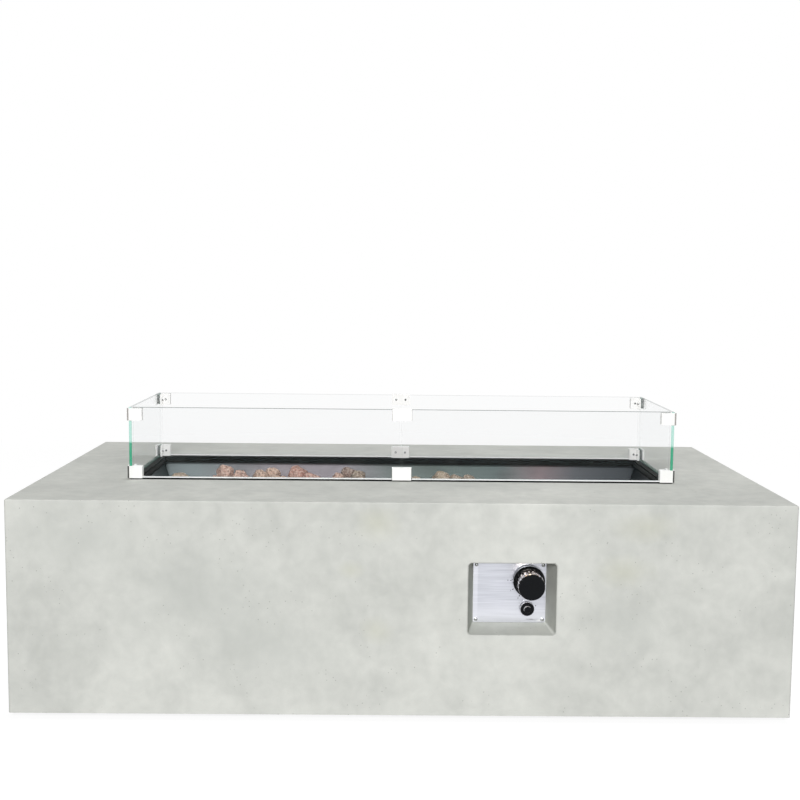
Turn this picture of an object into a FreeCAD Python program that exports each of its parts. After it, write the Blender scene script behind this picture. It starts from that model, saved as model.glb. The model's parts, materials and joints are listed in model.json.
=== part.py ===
"""Gas fire pit table: cast shell, fire pan with burner, clear wind guard, recessed controls.

Millimetres, +Z up. The origin is on the floor under the middle of the table. +X runs along
the long side towards the controls, and the front face looks along -Y.
"""
import FreeCAD, Part
import math
import os
import random

os.makedirs("parts", exist_ok=True)
Vec = FreeCAD.Vector
X_AXIS = Vec(1, 0, 0)
Y_AXIS = Vec(0, 1, 0)
Z_AXIS = Vec(0, 0, 1)

# Cast shell
body_length = 1524.0
body_depth = 813.0
table_height = 432.0
foot_gap = 12.0
shell_wall = 18.0
top_slab = 24.0
corner_round = 4.0
edge_round = 2.5
haunch = 14.0

# Levelling feet and their corner blocks
block_side = 70.0
block_height = 40.0
block_bevel = 26.0
foot_inset = 52.0
insert_radius = 8.0
insert_length = 28.0
insert_flange_radius = 13.0
insert_flange = 2.5
stud_radius = 5.0
stud_length = 34.0
stud_seat = 4.0
stud_chamfer = 0.8
hex_across_flats = 17.0
pad_radius = 20.0
pad_top_radius = 16.0
pad_height = 7.0
pad_rib = 1.5

# Control recess in the front face
controls_x = 213.6
controls_drop = 188.0
recess_width = 172.0
recess_height = 142.5
recess_round = 7.5
recess_depth = 56.0
recess_wall = 14.0
recess_lip_round = 1.5
seat_thickness = 12.0
window_width = 120.0
window_height = 98.0
window_round = 8.0

# Control plate
plate_width = 144.0
plate_height = 122.0
plate_thickness = 1.5
plate_round = 3.0
plate_screw_dx = 66.0
plate_screw_dz = 55.0
screw_radius = 2.0
screw_head_radius = 3.5
screw_head_top_radius = 2.1
screw_head_height = 2.2
screw_length = 10.0
anchor_radius = 3.2
anchor_length = 9.0

# Gas valve, its stem and knob, placed from the middle of the controls
knob_dx = 37.6
knob_dz = 23.8
collar_radius = 8.0
collar_length = 9.0
collar_bore_radius = 6.6
collar_bore_depth = 8.0
valve_nut_flats = 24.0
valve_nut_height = 4.0
valve_width = 30.0
valve_height = 32.0
valve_depth = 40.0
valve_round = 3.0
stem_radius = 4.0
stem_flat = 1.2
stem_flat_length = 33.0
stem_in_valve = 20.0
washer_radius = 6.5
washer_thickness = 1.5
push_travel = 4.0
knob_plate_gap = 4.5
knob_skirt_radius = 31.4
skirt_height = 6.0
skirt_dome = 5.0
skirt_top_radius = 27.5
knob_grip_radius = 26.2
knob_length = 51.0
flute_count = 20
flute_radius = 2.6
flute_depth = 1.2
knob_cap_height = 3.0
knob_cap_lip = 0.8
hub_radius = 8.0
knob_wall = 3.0
pointer_width = 2.6
pointer_height = 1.2

# Push-button igniter
igniter_dx = 34.6
igniter_dz = -31.0
barrel_radius = 11.0
barrel_length = 62.0
barrel_wall = 3.2
bezel_radius = 13.5
bezel_height = 2.0
neck_radius = 10.0
neck_length = 3.0
igniter_cap_radius = 14.0
igniter_cap_height = 9.5
igniter_cap_face = 2.5
cap_flute_count = 18
cap_flute_radius = 1.3
button_radius = 7.6
button_flange_radius = 9.2
button_flange = 1.2
button_proud = 3.8
button_dome = 2.2
igniter_nut_radius = 15.0
igniter_nut_height = 5.0
battery_radius = 7.1
battery_length = 48.0
battery_nub_radius = 2.7
terminal_width = 4.8
terminal_length = 8.0
terminal_thickness = 0.8

# Wind guard
guard_length = 1150.0
guard_width = 328.0
glass_thickness = 6.0
glass_height = 150.0
glass_lift = 0.3
glass_arris = 0.7
clip_height = 26.0
clip_arm = 32.0
clip_outer_wall = 3.0
clip_inner_wall = 4.0
clip_fin = 1.6
clip_fin_gap = 0.2
clip_corner_round = 5.0
clip_edge_round = 0.8
outer_pad = 1.0
inner_pad = 1.5
pad_inset = 2.0
mid_clip_width = 42.0
mid_clip_proud = 2.0
set_screw_radius = 2.5
set_screw_proud = 3.0
set_screw_from_end = 10.0
inner_pad_radius = 5.0
corner_clip_drop = 2.0

# Fire pan and its black rim
rim_overlap = 14.0
rim_sheet = 1.5
rim_upright = 4.0
rim_slope_drop = 5.0
rim_slope_in = 4.0
rim_lower = 5.0
pan_sheet = 1.2
pan_upright = 16.0
pan_wall_drop = 64.0
pan_taper_deg = 22.0
pan_round = 4.0

# Burner inside the pan and the parts that feed it
burner_length = 860.0
burner_radius = 12.7
burner_wall = 1.2
burner_end_round = 2.0
burner_lift = 22.0
port_radius = 1.3
port_count = 15
port_angle_deg = 35.0
port_end_margin = 40.0
riser_radius = 10.0
riser_below_floor = 22.0
riser_washer_radius = 16.0
riser_washer = 2.0
locknut_flats = 28.0
locknut_height = 8.0
mixer_radius = 13.0
mixer_length = 55.0
mixer_bore_radius = 8.5
air_slot_width = 6.0
air_slot_height = 24.0
air_slot_lift = 3.0
orifice_flats = 20.0
orifice_hex = 10.0
orifice_spigot = 8.0
jet_tip_radius = 3.0
jet_tip_length = 6.0
bracket_x = 330.0
bracket_width = 38.0
bracket_sheet = 1.5
bracket_foot = 22.0
bracket_over_tube = 5.0
bracket_screw_dy = 13.0
pan_screw_length = 9.0
pan_screw_radius = 1.5
pan_screw_head_radius = 3.0

# Flame sensor, spark electrode and the bracket that holds both
sensor_x = 78.0
sensor_pitch = 30.0
sensor_y = -31.0
sensor_plate_height = 30.0
sensor_plate_width = 56.0
sensor_plate_foot = 14.0
sensor_screw_dy = 8.4
ceramic_radius = 3.5
ceramic_collar_radius = 5.0
ceramic_collar = 4.0
ceramic_bottom = 20.0
electrode_radius = 1.2
electrode_reach = 14.0
probe_radius = 3.0
probe_top = 30.0
probe_bottom = 12.0
probe_collar_radius = 5.0
probe_nut_flats = 8.5
probe_tip_round = 2.4

# Hose, leads and fittings
hose_radius = 5.0
hose_nut_flats = 19.0
hose_nut_length = 16.0
nut_chamfer = 1.6
nut_chamfer_length = 3.0
outlet_flats = 17.0
outlet_hex = 10.0
inlet_flats = 19.0
inlet_hex = 12.0
inlet_flare_radius = 7.94
inlet_flare_length = 14.0
inlet_nose = 4.0
inlet_tip_wall = 1.0
port_from_back = 16.0
sensor_nut_flats = 11.0
sensor_nut_height = 7.0
lead_radius = 1.5
grommet_x = 213.6
grommet_z = 64.0
grommet_bore_radius = 12.0
grommet_wall = 4.0
grommet_flange = 3.0
grommet_flange_radius = 21.0

# Lava rock: a bed on the pan's floor, small pieces over the burner, and a loose heap
bed_pitch = 46.0
bed_rock_radius = 25.0
bed_lift = 11.5
rock_side_count = 14
cover_pitch = 43.0
cover_rock_radius = 15.0
cover_lift = 38.0
rock_reach = 1.5
rock_jitter = 5.0
rock_gap = 0.5
rock_seed = 11
# Larger pieces of the heap: x, y, lift over the pan's floor and radius
heap_rocks = [
    (-505, 30, 37, 26), (-405, 70, 50, 23), (-424, 52, 40, 15), (-365, 36, 39, 25), (-372, 78, 44, 18),
    (-322, 60, 42, 22), (-296, 82, 47, 20), (-272, 48, 40, 15), (-239, 68, 51, 24), (-205, 44, 40, 22),
    (-141, 62, 43, 17), (-122, 80, 49, 21), (-97, 66, 46, 19), (35, 50, 39, 16), (93, 56, 44, 22),
    (127, 66, 41, 17), (157, 48, 42, 19),
]
facet_spread = 0.35
facet_nearest = 0.82
golden_angle = math.pi * (3 - math.sqrt(5))

# Clearances
running_gap = 0.06
press_gap = 0.05
hole_gap = 0.25
seat_gap = 0.5
pan_gap = 1.0
soft_gap = 0.3
pocket_floor = 3.0
over = 1.0


def box(x0, x1, y0, y1, z0, z1):
    return Part.makeBox(x1 - x0, y1 - y0, z1 - z0, Vec(x0, y0, z0))


def centred_box(width, depth, z0, z1, x=0.0, y=0.0):
    return box(x - width / 2, x + width / 2, y - depth / 2, y + depth / 2, z0, z1)


def cylinder(radius, base, axis, length):
    return Part.makeCylinder(radius, length, base, axis)


def ring(outer, inner, base, axis, length):
    return cylinder(outer, base, axis, length).cut(cylinder(inner, base, axis, length))


def cone(radius_0, radius_1, base, axis, length):
    return Part.makeCone(radius_0, radius_1, length, base, axis)


def hexagon(across_flats, base, axis, length):
    """A hexagonal bar that starts at base and runs along axis."""
    corner = across_flats / math.sqrt(3)
    side = X_AXIS if abs(axis.x) < 0.5 else Y_AXIS
    other = axis.cross(side)
    corners = []
    for turn in range(7):
        angle = math.radians(60 * turn)
        corners.append(base + side * (corner * math.cos(angle)) + other * (corner * math.sin(angle)))
    return Part.Face(Part.makePolygon(corners)).extrude(axis * length)


def rounded_wire(width, height, radius, place):
    """A closed rectangle with round corners; place maps its own x and y into space."""
    half_w = width / 2
    half_h = height / 2
    corners = [(half_w, half_h, 0), (-half_w, half_h, 90), (-half_w, -half_h, 180), (half_w, -half_h, 270)]
    arcs = []
    for x, y, start in corners:
        centre_x = x - math.copysign(radius, x)
        centre_y = y - math.copysign(radius, y)
        on_arc = []
        for angle in (start, start + 45, start + 90):
            along = math.radians(angle)
            on_arc.append(place(centre_x + radius * math.cos(along), centre_y + radius * math.sin(along)))
        arcs.append(on_arc)
    edges = []
    for index, on_arc in enumerate(arcs):
        edges.append(Part.Arc(*on_arc).toShape())
        edges.append(Part.makeLine(on_arc[2], arcs[(index + 1) % 4][0]))
    return Part.Wire(edges)


def level_wire(width, depth, radius, z):
    return rounded_wire(width, depth, radius, lambda x, y: Vec(x, y, z))


def prism(width, depth, radius, z0, z1):
    """An upright block with rounded corners, centred on the origin."""
    return Part.Face(level_wire(width, depth, radius, z0)).extrude(Vec(0, 0, z1 - z0))


def loft(first, second):
    return Part.makeLoft([first, second], True, True)


def facing_wire(width, height, radius, y):
    """A rounded rectangle that faces the front, centred on the controls."""
    return rounded_wire(width, height, radius, lambda x, z: Vec(controls_x + x, y, controls_z + z))


def facing_block(width, height, radius, y0, y1):
    return Part.Face(facing_wire(width, height, radius, y0)).extrude(Vec(0, y1 - y0, 0))


def fuse(first, *others):
    return first.fuse(list(others)).removeSplitter()


def mirrored(shape, axis):
    return shape.mirror(Vec(0, 0, 0), axis)


def tube_along(name, points, radius):
    """A round cord on straight runs joined by tangent arcs, as large as the runs allow."""
    edges = []
    radii = []
    start = points[0]
    for before, point, after in zip(points, points[1:], points[2:]):
        way_in = (point - before).normalize()
        way_out = (after - point).normalize()
        half_turn = way_in.getAngle(way_out) / 2
        back_off = 0.45 * min((point - before).Length, (after - point).Length)
        radii.append(back_off / math.tan(half_turn))
        arc_start = point - way_in * back_off
        arc_end = point + way_out * back_off
        inward = (way_out - way_in).normalize()
        middle = point + inward * (radii[-1] / math.cos(half_turn) - radii[-1])
        edges.append(Part.LineSegment(start, arc_start).toShape())
        edges.append(Part.Arc(arc_start, middle, arc_end).toShape())
        start = arc_end
    edges.append(Part.LineSegment(start, points[-1]).toShape())
    path = Part.Wire(edges)
    first_way = points[1] - points[0]
    section = Part.Wire([Part.makeCircle(radius, points[0], first_way)])
    tube = path.makePipeShell([section], True, False)
    expected = math.pi * radius ** 2 * path.Length
    print(name, "length", round(path.Length, 1), "tightest radius", round(min(radii), 1),
          "in diameters", round(min(radii) / radius / 2, 1), "volume ratio", round(tube.Volume / expected, 4))
    return tube


# Levels and faces that follow from the driving dimensions
front_y = -body_depth / 2
back_y = body_depth / 2
controls_z = table_height - controls_drop
opening_length = guard_length - 2 * rim_overlap
opening_width = guard_width - 2 * rim_overlap
plate_front_y = front_y + recess_depth
plate_back_y = plate_front_y + plate_thickness
seat_width = plate_width + 2 * seat_gap
seat_height = plate_height + 2 * seat_gap
seat_back_y = plate_back_y + seat_thickness
knob_x = controls_x + knob_dx
knob_z = controls_z + knob_dz
igniter_x = controls_x + igniter_dx
igniter_z = controls_z + igniter_dz
rim_under = table_height + pan_sheet
rim_top = rim_under + rim_sheet
pan_outer_length = opening_length - 2 * pan_gap
pan_outer_width = opening_width - 2 * pan_gap
pan_wall_top = table_height - pan_upright
pan_floor_under = pan_wall_top - pan_wall_drop
pan_floor = pan_floor_under + pan_sheet
pan_inset = pan_wall_drop * math.tan(math.radians(pan_taper_deg))
burner_z = pan_floor + burner_lift
foot_places = {
    "front_left": (-body_length / 2 + foot_inset, front_y + foot_inset),
    "front_right": (body_length / 2 - foot_inset, front_y + foot_inset),
    "back_left": (-body_length / 2 + foot_inset, back_y - foot_inset),
    "back_right": (body_length / 2 - foot_inset, back_y - foot_inset),
}
plate_screw_places = []
for side in (-1, 1):
    for level in (-1, 1):
        plate_screw_places.append((controls_x + side * plate_screw_dx, controls_z + level * plate_screw_dz))


def cast_body():
    """One cast shell: open below, haunched under the top, with the recess and corner blocks."""
    shell = centred_box(body_length, body_depth, foot_gap, table_height)
    upright = [e for e in shell.Edges if abs(e.tangentAt(e.FirstParameter).z) > 0.9]
    shell = shell.makeFillet(corner_round, upright)
    top_edges = [e for e in shell.Edges if e.BoundBox.ZMin > table_height - 0.01]
    shell = shell.makeFillet(edge_round, top_edges)
    inner_length = body_length - 2 * shell_wall
    inner_depth = body_depth - 2 * shell_wall
    ceiling = table_height - top_slab
    spring_line = ceiling - haunch
    hollow = centred_box(inner_length, inner_depth, foot_gap - over, spring_line)
    crown = loft(level_wire(inner_length, inner_depth, corner_round, spring_line),
                 level_wire(inner_length - 2 * haunch, inner_depth - 2 * haunch, corner_round, ceiling))
    shell = shell.cut(fuse(hollow, crown))
    for x, y in foot_places.values():
        shell = shell.fuse(corner_block(math.copysign(1, x), math.copysign(1, y)))
    boss = loft(facing_wire(recess_width + 2 * recess_wall, recess_height + 2 * recess_wall,
                            recess_round + recess_wall, front_y + shell_wall / 2),
                facing_wire(seat_width + 2 * recess_wall, seat_height + 2 * recess_wall,
                            recess_round + recess_wall, seat_back_y))
    shell = shell.fuse(boss)
    mouth_growth = recess_lip_round
    recess = loft(facing_wire(recess_width, recess_height, recess_round, front_y),
                  facing_wire(seat_width, seat_height, plate_round + seat_gap, plate_back_y))
    lip = loft(facing_wire(recess_width + 2 * mouth_growth, recess_height + 2 * mouth_growth,
                           recess_round + mouth_growth, front_y),
               facing_wire(recess_width - seat_gap, recess_height - seat_gap, recess_round,
                           front_y + mouth_growth))
    window = facing_block(window_width, window_height, window_round, plate_back_y - over, seat_back_y + over)
    shell = shell.cut([recess, lip, window])
    shell = shell.cut(prism(opening_length, opening_width, pan_round, ceiling - over, table_height + over))
    for x, y in foot_places.values():
        pocket = cylinder(insert_radius + press_gap, Vec(x, y, foot_gap - over), Z_AXIS,
                          insert_length + over + pocket_floor)
        sink = cylinder(insert_flange_radius + press_gap, Vec(x, y, foot_gap - over), Z_AXIS,
                        insert_flange + over + press_gap)
        shell = shell.cut([pocket, sink])
    for x, z in plate_screw_places:
        shell = shell.cut(cylinder(anchor_radius + press_gap, Vec(x, plate_back_y - over, z), Y_AXIS,
                                   anchor_length + over + press_gap))
    hose_hole = cylinder(grommet_bore_radius + grommet_wall,
                         Vec(grommet_x, back_y - shell_wall - over, grommet_z), Y_AXIS, shell_wall + 2 * over)
    return shell.cut(hose_hole).removeSplitter()


def corner_block(side_x, side_y):
    """The thick bottom corner that carries a foot, bevelled towards the hollow."""
    half_l = body_length / 2 - shell_wall / 2
    half_d = body_depth / 2 - shell_wall / 2
    reach = block_side + shell_wall / 2
    corners = [(half_l, half_d), (half_l - reach, half_d), (half_l - reach, half_d - reach + block_bevel),
               (half_l - reach + block_bevel, half_d - reach), (half_l, half_d - reach), (half_l, half_d)]
    outline = [Vec(side_x * x, side_y * y, foot_gap) for x, y in corners]
    return Part.Face(Part.makePolygon(outline)).extrude(Vec(0, 0, block_height))


def foot_inserts():
    inserts = []
    for x, y in foot_places.values():
        base = Vec(x, y, foot_gap)
        sleeve = fuse(cylinder(insert_radius, base, Z_AXIS, insert_length),
                      cylinder(insert_flange_radius, base, Z_AXIS, insert_flange))
        inserts.append(sleeve.cut(cylinder(stud_radius + running_gap, base, Z_AXIS, insert_length)))
    return inserts


def foot_stud(x, y):
    """A levelling stud: hexagon under the insert, shank in it, end seated in the pad."""
    shank = cylinder(stud_radius, Vec(x, y, stud_seat), Z_AXIS, stud_length)
    shank = shank.cut(ring(stud_radius + over, stud_radius - stud_chamfer,
                           Vec(x, y, stud_seat + stud_length - stud_chamfer), Z_AXIS, stud_chamfer))
    return fuse(shank, hexagon(hex_across_flats, Vec(x, y, pad_height), Z_AXIS, foot_gap - pad_height))


def foot_pad(x, y):
    """A moulded glide: flat tread, sloping shoulder and a socket for the stud."""
    tread = cylinder(pad_radius, Vec(x, y, 0), Z_AXIS, pad_rib)
    shoulder = cone(pad_radius, pad_top_radius, Vec(x, y, pad_rib), Z_AXIS, pad_height - pad_rib)
    socket = cylinder(stud_radius + press_gap, Vec(x, y, stud_seat), Z_AXIS, pad_height)
    return fuse(tread, shoulder).cut(socket)


def control_plate():
    plate = facing_block(plate_width, plate_height, plate_round, plate_front_y, plate_back_y)
    holes = [(knob_x, knob_z, collar_radius + hole_gap), (igniter_x, igniter_z, barrel_radius + hole_gap)]
    for x, z in plate_screw_places:
        holes.append((x, z, screw_radius + hole_gap))
    cutters = []
    for x, z, radius in holes:
        cutters.append(cylinder(radius, Vec(x, plate_front_y - over, z), Y_AXIS, plate_thickness + 2 * over))
    return plate.cut(cutters)


def plate_screws():
    """Pan-headed screws that hold the control plate on its seat."""
    screws = []
    for x, z in plate_screw_places:
        shank = cylinder(screw_radius, Vec(x, plate_front_y, z), Y_AXIS, screw_length)
        head = cone(screw_head_top_radius, screw_head_radius, Vec(x, plate_front_y - screw_head_height, z),
                    Y_AXIS, screw_head_height)
        screws.append(fuse(shank, head))
    return screws


def plate_anchors():
    anchors = []
    for x, z in plate_screw_places:
        base = Vec(x, plate_back_y, z)
        anchors.append(ring(anchor_radius, screw_radius + press_gap, base, Y_AXIS, anchor_length))
    return anchors


def gas_valve():
    """Valve block behind the plate, its collar through the plate, and its outlet and inlet."""
    block = box(knob_x - valve_width / 2, knob_x + valve_width / 2, plate_back_y, plate_back_y + valve_depth,
                knob_z - valve_height / 2, knob_z + valve_height / 2)
    along_y = [e for e in block.Edges if abs(e.tangentAt(e.FirstParameter).y) > 0.9]
    block = block.makeFillet(valve_round, along_y)
    collar_front = plate_front_y - collar_length
    collar = cylinder(collar_radius, Vec(knob_x, collar_front, knob_z), Y_AXIS, plate_back_y - collar_front)
    outlet = hexagon(outlet_flats, Vec(knob_x - valve_width / 2, port_y, knob_z), -X_AXIS, outlet_hex)
    sensor_port = hexagon(sensor_nut_flats, Vec(knob_x, port_y, knob_z + valve_height / 2), Z_AXIS,
                          sensor_nut_height)
    body = fuse(block, collar, outlet, sensor_port)
    stem_hole = cylinder(stem_radius + running_gap, Vec(knob_x, collar_front, knob_z), Y_AXIS,
                         collar_length + plate_thickness + stem_in_valve + push_travel + over)
    washer_hole = cylinder(collar_bore_radius, Vec(knob_x, collar_front, knob_z), Y_AXIS, collar_bore_depth)
    return body.cut([stem_hole, washer_hole])


def inlet_fitting():
    """Male flare that a gas hose screws onto, at the back of the valve."""
    start = plate_back_y + valve_depth
    nut = hexagon(inlet_flats, Vec(knob_x, start, knob_z), Y_AXIS, inlet_hex)
    thread = cylinder(inlet_flare_radius, Vec(knob_x, start + inlet_hex, knob_z), Y_AXIS, inlet_flare_length)
    nose = cone(inlet_flare_radius, inlet_flare_radius - inlet_nose, Vec(knob_x, start + inlet_hex
                + inlet_flare_length, knob_z), Y_AXIS, inlet_nose)
    bore = cylinder(inlet_flare_radius - inlet_nose - inlet_tip_wall, Vec(knob_x, start, knob_z), Y_AXIS,
                    2 * valve_depth)
    return fuse(nut, thread, nose).cut(bore)


def valve_nut():
    base = Vec(knob_x, plate_front_y - valve_nut_height, knob_z)
    nut = hexagon(valve_nut_flats, base, Y_AXIS, valve_nut_height)
    return nut.cut(cylinder(collar_radius + press_gap, base, Y_AXIS, valve_nut_height))


def stem_washer():
    """Thrust washer that is pushed in with the stem but doesn't turn."""
    front = plate_front_y - collar_length + over
    return ring(washer_radius, stem_radius + running_gap, Vec(knob_x, front, knob_z), Y_AXIS,
                washer_thickness)


def valve_stem():
    """Round stem with a long flat on its outer end, for the knob."""
    start = knob_face_y + knob_cap_height + over
    stem = cylinder(stem_radius, Vec(knob_x, start, knob_z), Y_AXIS, plate_back_y + stem_in_valve - start)
    flat = box(knob_x - stem_radius, knob_x + stem_radius, start, start + stem_flat_length,
               knob_z + stem_radius - stem_flat, knob_z + stem_radius)
    return stem.cut(flat)


def control_knob():
    """Fluted grip, hollow from behind, with a hub that has a flat-sided bore."""
    back = knob_back_y - skirt_height - skirt_dome
    length = back - knob_face_y - knob_cap_height
    face = knob_face_y + knob_cap_height
    grip = cylinder(knob_grip_radius, Vec(knob_x, face, knob_z), Y_AXIS, length)
    flutes = []
    for step in range(flute_count):
        angle = 2 * math.pi * step / flute_count
        reach = knob_grip_radius + flute_radius - flute_depth
        centre = Vec(knob_x + reach * math.cos(angle), face - over, knob_z + reach * math.sin(angle))
        flutes.append(cylinder(flute_radius, centre, Y_AXIS, length + 2 * over))
    inner = knob_grip_radius - flute_depth - knob_wall
    hollow = ring(inner, hub_radius, Vec(knob_x, face + knob_wall, knob_z), Y_AXIS, length)
    hub_back = plate_front_y - collar_length - push_travel - soft_gap
    root = cylinder(inner - over, Vec(knob_x, hub_back, knob_z), Y_AXIS, length)
    bore = cylinder(stem_radius + press_gap, Vec(knob_x, face - over, knob_z), Y_AXIS, length + 2 * over)
    flat_z = knob_z + stem_radius - stem_flat + press_gap
    key_end = face + over + stem_flat_length - soft_gap
    key = box(knob_x - stem_radius, knob_x + stem_radius, face + over, key_end, flat_z,
              knob_z + 2 * stem_radius)
    key = key.common(cylinder(stem_radius + press_gap, Vec(knob_x, face, knob_z), Y_AXIS, length))
    return fuse(grip.cut(flutes).cut([hollow, root, bore]), key)


def knob_skirt():
    """Domed ring behind the grip, with a raised pointer on its left."""
    flare = cylinder(knob_skirt_radius, Vec(knob_x, knob_back_y - skirt_height, knob_z), Y_AXIS, skirt_height)
    dome_front = knob_back_y - skirt_height - skirt_dome
    dome = cone(skirt_top_radius, knob_skirt_radius, Vec(knob_x, dome_front, knob_z), Y_AXIS, skirt_dome)
    skirt = fuse(flare, dome)
    back_edges = [e for e in skirt.Edges if e.BoundBox.YMin > knob_back_y - 0.01]
    skirt = skirt.makeFillet(over, back_edges)
    inner = knob_grip_radius - flute_depth - knob_wall - over
    skirt = skirt.cut(cylinder(inner, Vec(knob_x, dome_front - over, knob_z), Y_AXIS, knob_length))
    pointer = box(knob_x - knob_skirt_radius - pointer_height, knob_x - knob_grip_radius - over,
                  dome_front + over, knob_back_y - over, knob_z - pointer_width / 2,
                  knob_z + pointer_width / 2)
    return fuse(skirt, pointer)


def knob_cap():
    """Glossy disc let into the front of the grip, with a small rolled edge."""
    cap = cylinder(knob_grip_radius - flute_depth / 2, Vec(knob_x, knob_face_y, knob_z), Y_AXIS,
                   knob_cap_height)
    front_edge = [e for e in cap.Edges if e.BoundBox.YMax < knob_face_y + 0.01]
    return cap.makeFillet(knob_cap_lip, front_edge)


def igniter_barrel():
    """Igniter housing: bezel on the plate, threaded neck in front, battery bore and two tabs."""
    base = Vec(igniter_x, plate_front_y, igniter_z)
    body = cylinder(barrel_radius, base, Y_AXIS, barrel_length)
    bezel = cylinder(bezel_radius, base - Y_AXIS * bezel_height, Y_AXIS, bezel_height)
    neck = cylinder(neck_radius, base - Y_AXIS * (bezel_height + neck_length), Y_AXIS, neck_length + over)
    bore = cylinder(battery_radius + soft_gap, base - Y_AXIS * (bezel_height + neck_length), Y_AXIS,
                    neck_length + bezel_height + barrel_length - barrel_wall)
    tail = plate_front_y + barrel_length
    tabs = []
    for side in (-1, 1):
        x = igniter_x + side * barrel_radius / 2
        tabs.append(box(x - terminal_thickness / 2, x + terminal_thickness / 2, tail - over,
                        tail + terminal_length, igniter_z - terminal_width / 2, igniter_z + terminal_width / 2))
    return fuse(body, bezel, neck, *tabs).cut(bore)


def igniter_nut():
    base = Vec(igniter_x, plate_back_y, igniter_z)
    nut = hexagon(igniter_nut_radius * math.sqrt(3), base, Y_AXIS, igniter_nut_height)
    return nut.cut(cylinder(barrel_radius + press_gap, base, Y_AXIS, igniter_nut_height))


def igniter_cap():
    """Screw cap over the battery: scalloped side, bore for the button."""
    back = plate_front_y - bezel_height - soft_gap
    front = back - igniter_cap_height
    cap = cylinder(igniter_cap_radius, Vec(igniter_x, front, igniter_z), Y_AXIS, igniter_cap_height)
    front_edge = [e for e in cap.Edges if e.BoundBox.YMax < front + 0.01]
    cap = cap.makeFillet(cap_flute_radius, front_edge)
    cutters = [cylinder(neck_radius + soft_gap, Vec(igniter_x, front + igniter_cap_face, igniter_z), Y_AXIS,
                        igniter_cap_height),
               cylinder(button_radius + running_gap, Vec(igniter_x, front - over, igniter_z), Y_AXIS,
                        igniter_cap_height)]
    for step in range(cap_flute_count):
        angle = 2 * math.pi * step / cap_flute_count
        reach = igniter_cap_radius + cap_flute_radius / 2
        centre = Vec(igniter_x + reach * math.cos(angle), front - over, igniter_z + reach * math.sin(angle))
        cutters.append(cylinder(cap_flute_radius, centre, Y_AXIS, igniter_cap_height + 2 * over))
    return cap.cut(cutters)


def igniter_button():
    """Domed push button, kept in the cap by a flange behind its face."""
    inner_face = plate_front_y - bezel_height - soft_gap - igniter_cap_height + igniter_cap_face
    front = inner_face - igniter_cap_face - button_proud
    shaft = cylinder(button_radius, Vec(igniter_x, front, igniter_z), Y_AXIS, inner_face - front)
    front_edge = [e for e in shaft.Edges if e.BoundBox.YMax < front + 0.01]
    shaft = shaft.makeFillet(button_dome, front_edge)
    flange = cylinder(button_flange_radius, Vec(igniter_x, inner_face, igniter_z), Y_AXIS, button_flange)
    return fuse(shaft, flange)


def igniter_battery():
    tail = plate_front_y + barrel_length - barrel_wall
    start = tail - battery_length
    can = cylinder(battery_radius, Vec(igniter_x, start, igniter_z), Y_AXIS, battery_length)
    nub = cylinder(battery_nub_radius, Vec(igniter_x, start - over, igniter_z), Y_AXIS, over)
    return fuse(can, nub)


def stepped_rim(length, width, top):
    """Upright, sloping and lower upright bands of the rim, as one solid block."""
    step_1 = rim_top - rim_upright
    step_2 = step_1 - rim_slope_drop
    bottom = step_2 - rim_lower
    narrow_length = length - 2 * rim_slope_in
    narrow_width = width - 2 * rim_slope_in
    slope = loft(level_wire(narrow_length, narrow_width, pan_round, step_2),
                 level_wire(length, width, pan_round, step_1))
    return fuse(prism(narrow_length, narrow_width, pan_round, bottom, step_2), slope,
                prism(length, width, pan_round, step_1, top))


def rim_frame():
    """Black pressed frame: flange over the pan's flange, stepped leg down inside the pan."""
    leg_length = pan_outer_length - 2 * pan_sheet - 2 * seat_gap
    leg_width = pan_outer_width - 2 * pan_sheet - 2 * seat_gap
    flange = prism(guard_length, guard_width, pan_round, rim_under, rim_top)
    lip = prism(guard_length, guard_width, pan_round, table_height, rim_under)
    lip = lip.cut(prism(guard_length - 2 * rim_sheet, guard_width - 2 * rim_sheet, pan_round - rim_sheet,
                        table_height - over, rim_under))
    leg = stepped_rim(leg_length, leg_width, rim_top)
    mouth = stepped_rim(leg_length - 2 * rim_sheet, leg_width - 2 * rim_sheet, rim_top + over)
    return fuse(flange, lip, leg).cut(mouth)


def fire_pan():
    """Folded tray: flange on the table, short upright band, tapered walls, flat floor with holes."""
    flange_edge = rim_sheet + seat_gap
    flange = prism(guard_length - 2 * flange_edge, guard_width - 2 * flange_edge, pan_round - rim_sheet,
                   table_height, rim_under)
    outer = fuse(flange, prism(pan_outer_length, pan_outer_width, pan_round, pan_wall_top, rim_under),
                 loft(level_wire(pan_outer_length - 2 * pan_inset, pan_outer_width - 2 * pan_inset, pan_round,
                                 pan_floor_under),
                      level_wire(pan_outer_length, pan_outer_width, pan_round, pan_wall_top)))
    inner_length = pan_outer_length - 2 * pan_sheet
    inner_width = pan_outer_width - 2 * pan_sheet
    inner_inset = (pan_wall_drop - pan_sheet) * math.tan(math.radians(pan_taper_deg))
    inner = fuse(prism(inner_length, inner_width, pan_round - pan_sheet, pan_wall_top, rim_under + over),
                 loft(level_wire(inner_length - 2 * inner_inset, inner_width - 2 * inner_inset,
                                 pan_round - pan_sheet, pan_floor),
                      level_wire(inner_length, inner_width, pan_round - pan_sheet, pan_wall_top)))
    holes = [(0, 0, riser_radius + hole_gap)]
    for x, y in pan_screw_places():
        holes.append((x, y, pan_screw_radius + hole_gap))
    holes.append((electrode_x, sensor_y, ceramic_radius + hole_gap))
    holes.append((probe_x, sensor_y, probe_radius + hole_gap))
    cutters = [inner]
    for x, y, radius in holes:
        cutters.append(cylinder(radius, Vec(x, y, pan_floor_under - over), Z_AXIS, pan_sheet + 2 * over))
    return outer.cut(cutters)


def pan_screw_places():
    places = []
    for side in (-1, 1):
        for row in (-1, 1):
            places.append((side * (bracket_x + bracket_foot / 2), row * bracket_screw_dy))
    places.append((sensor_x, sensor_y + sensor_screw_dy))
    return places


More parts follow.
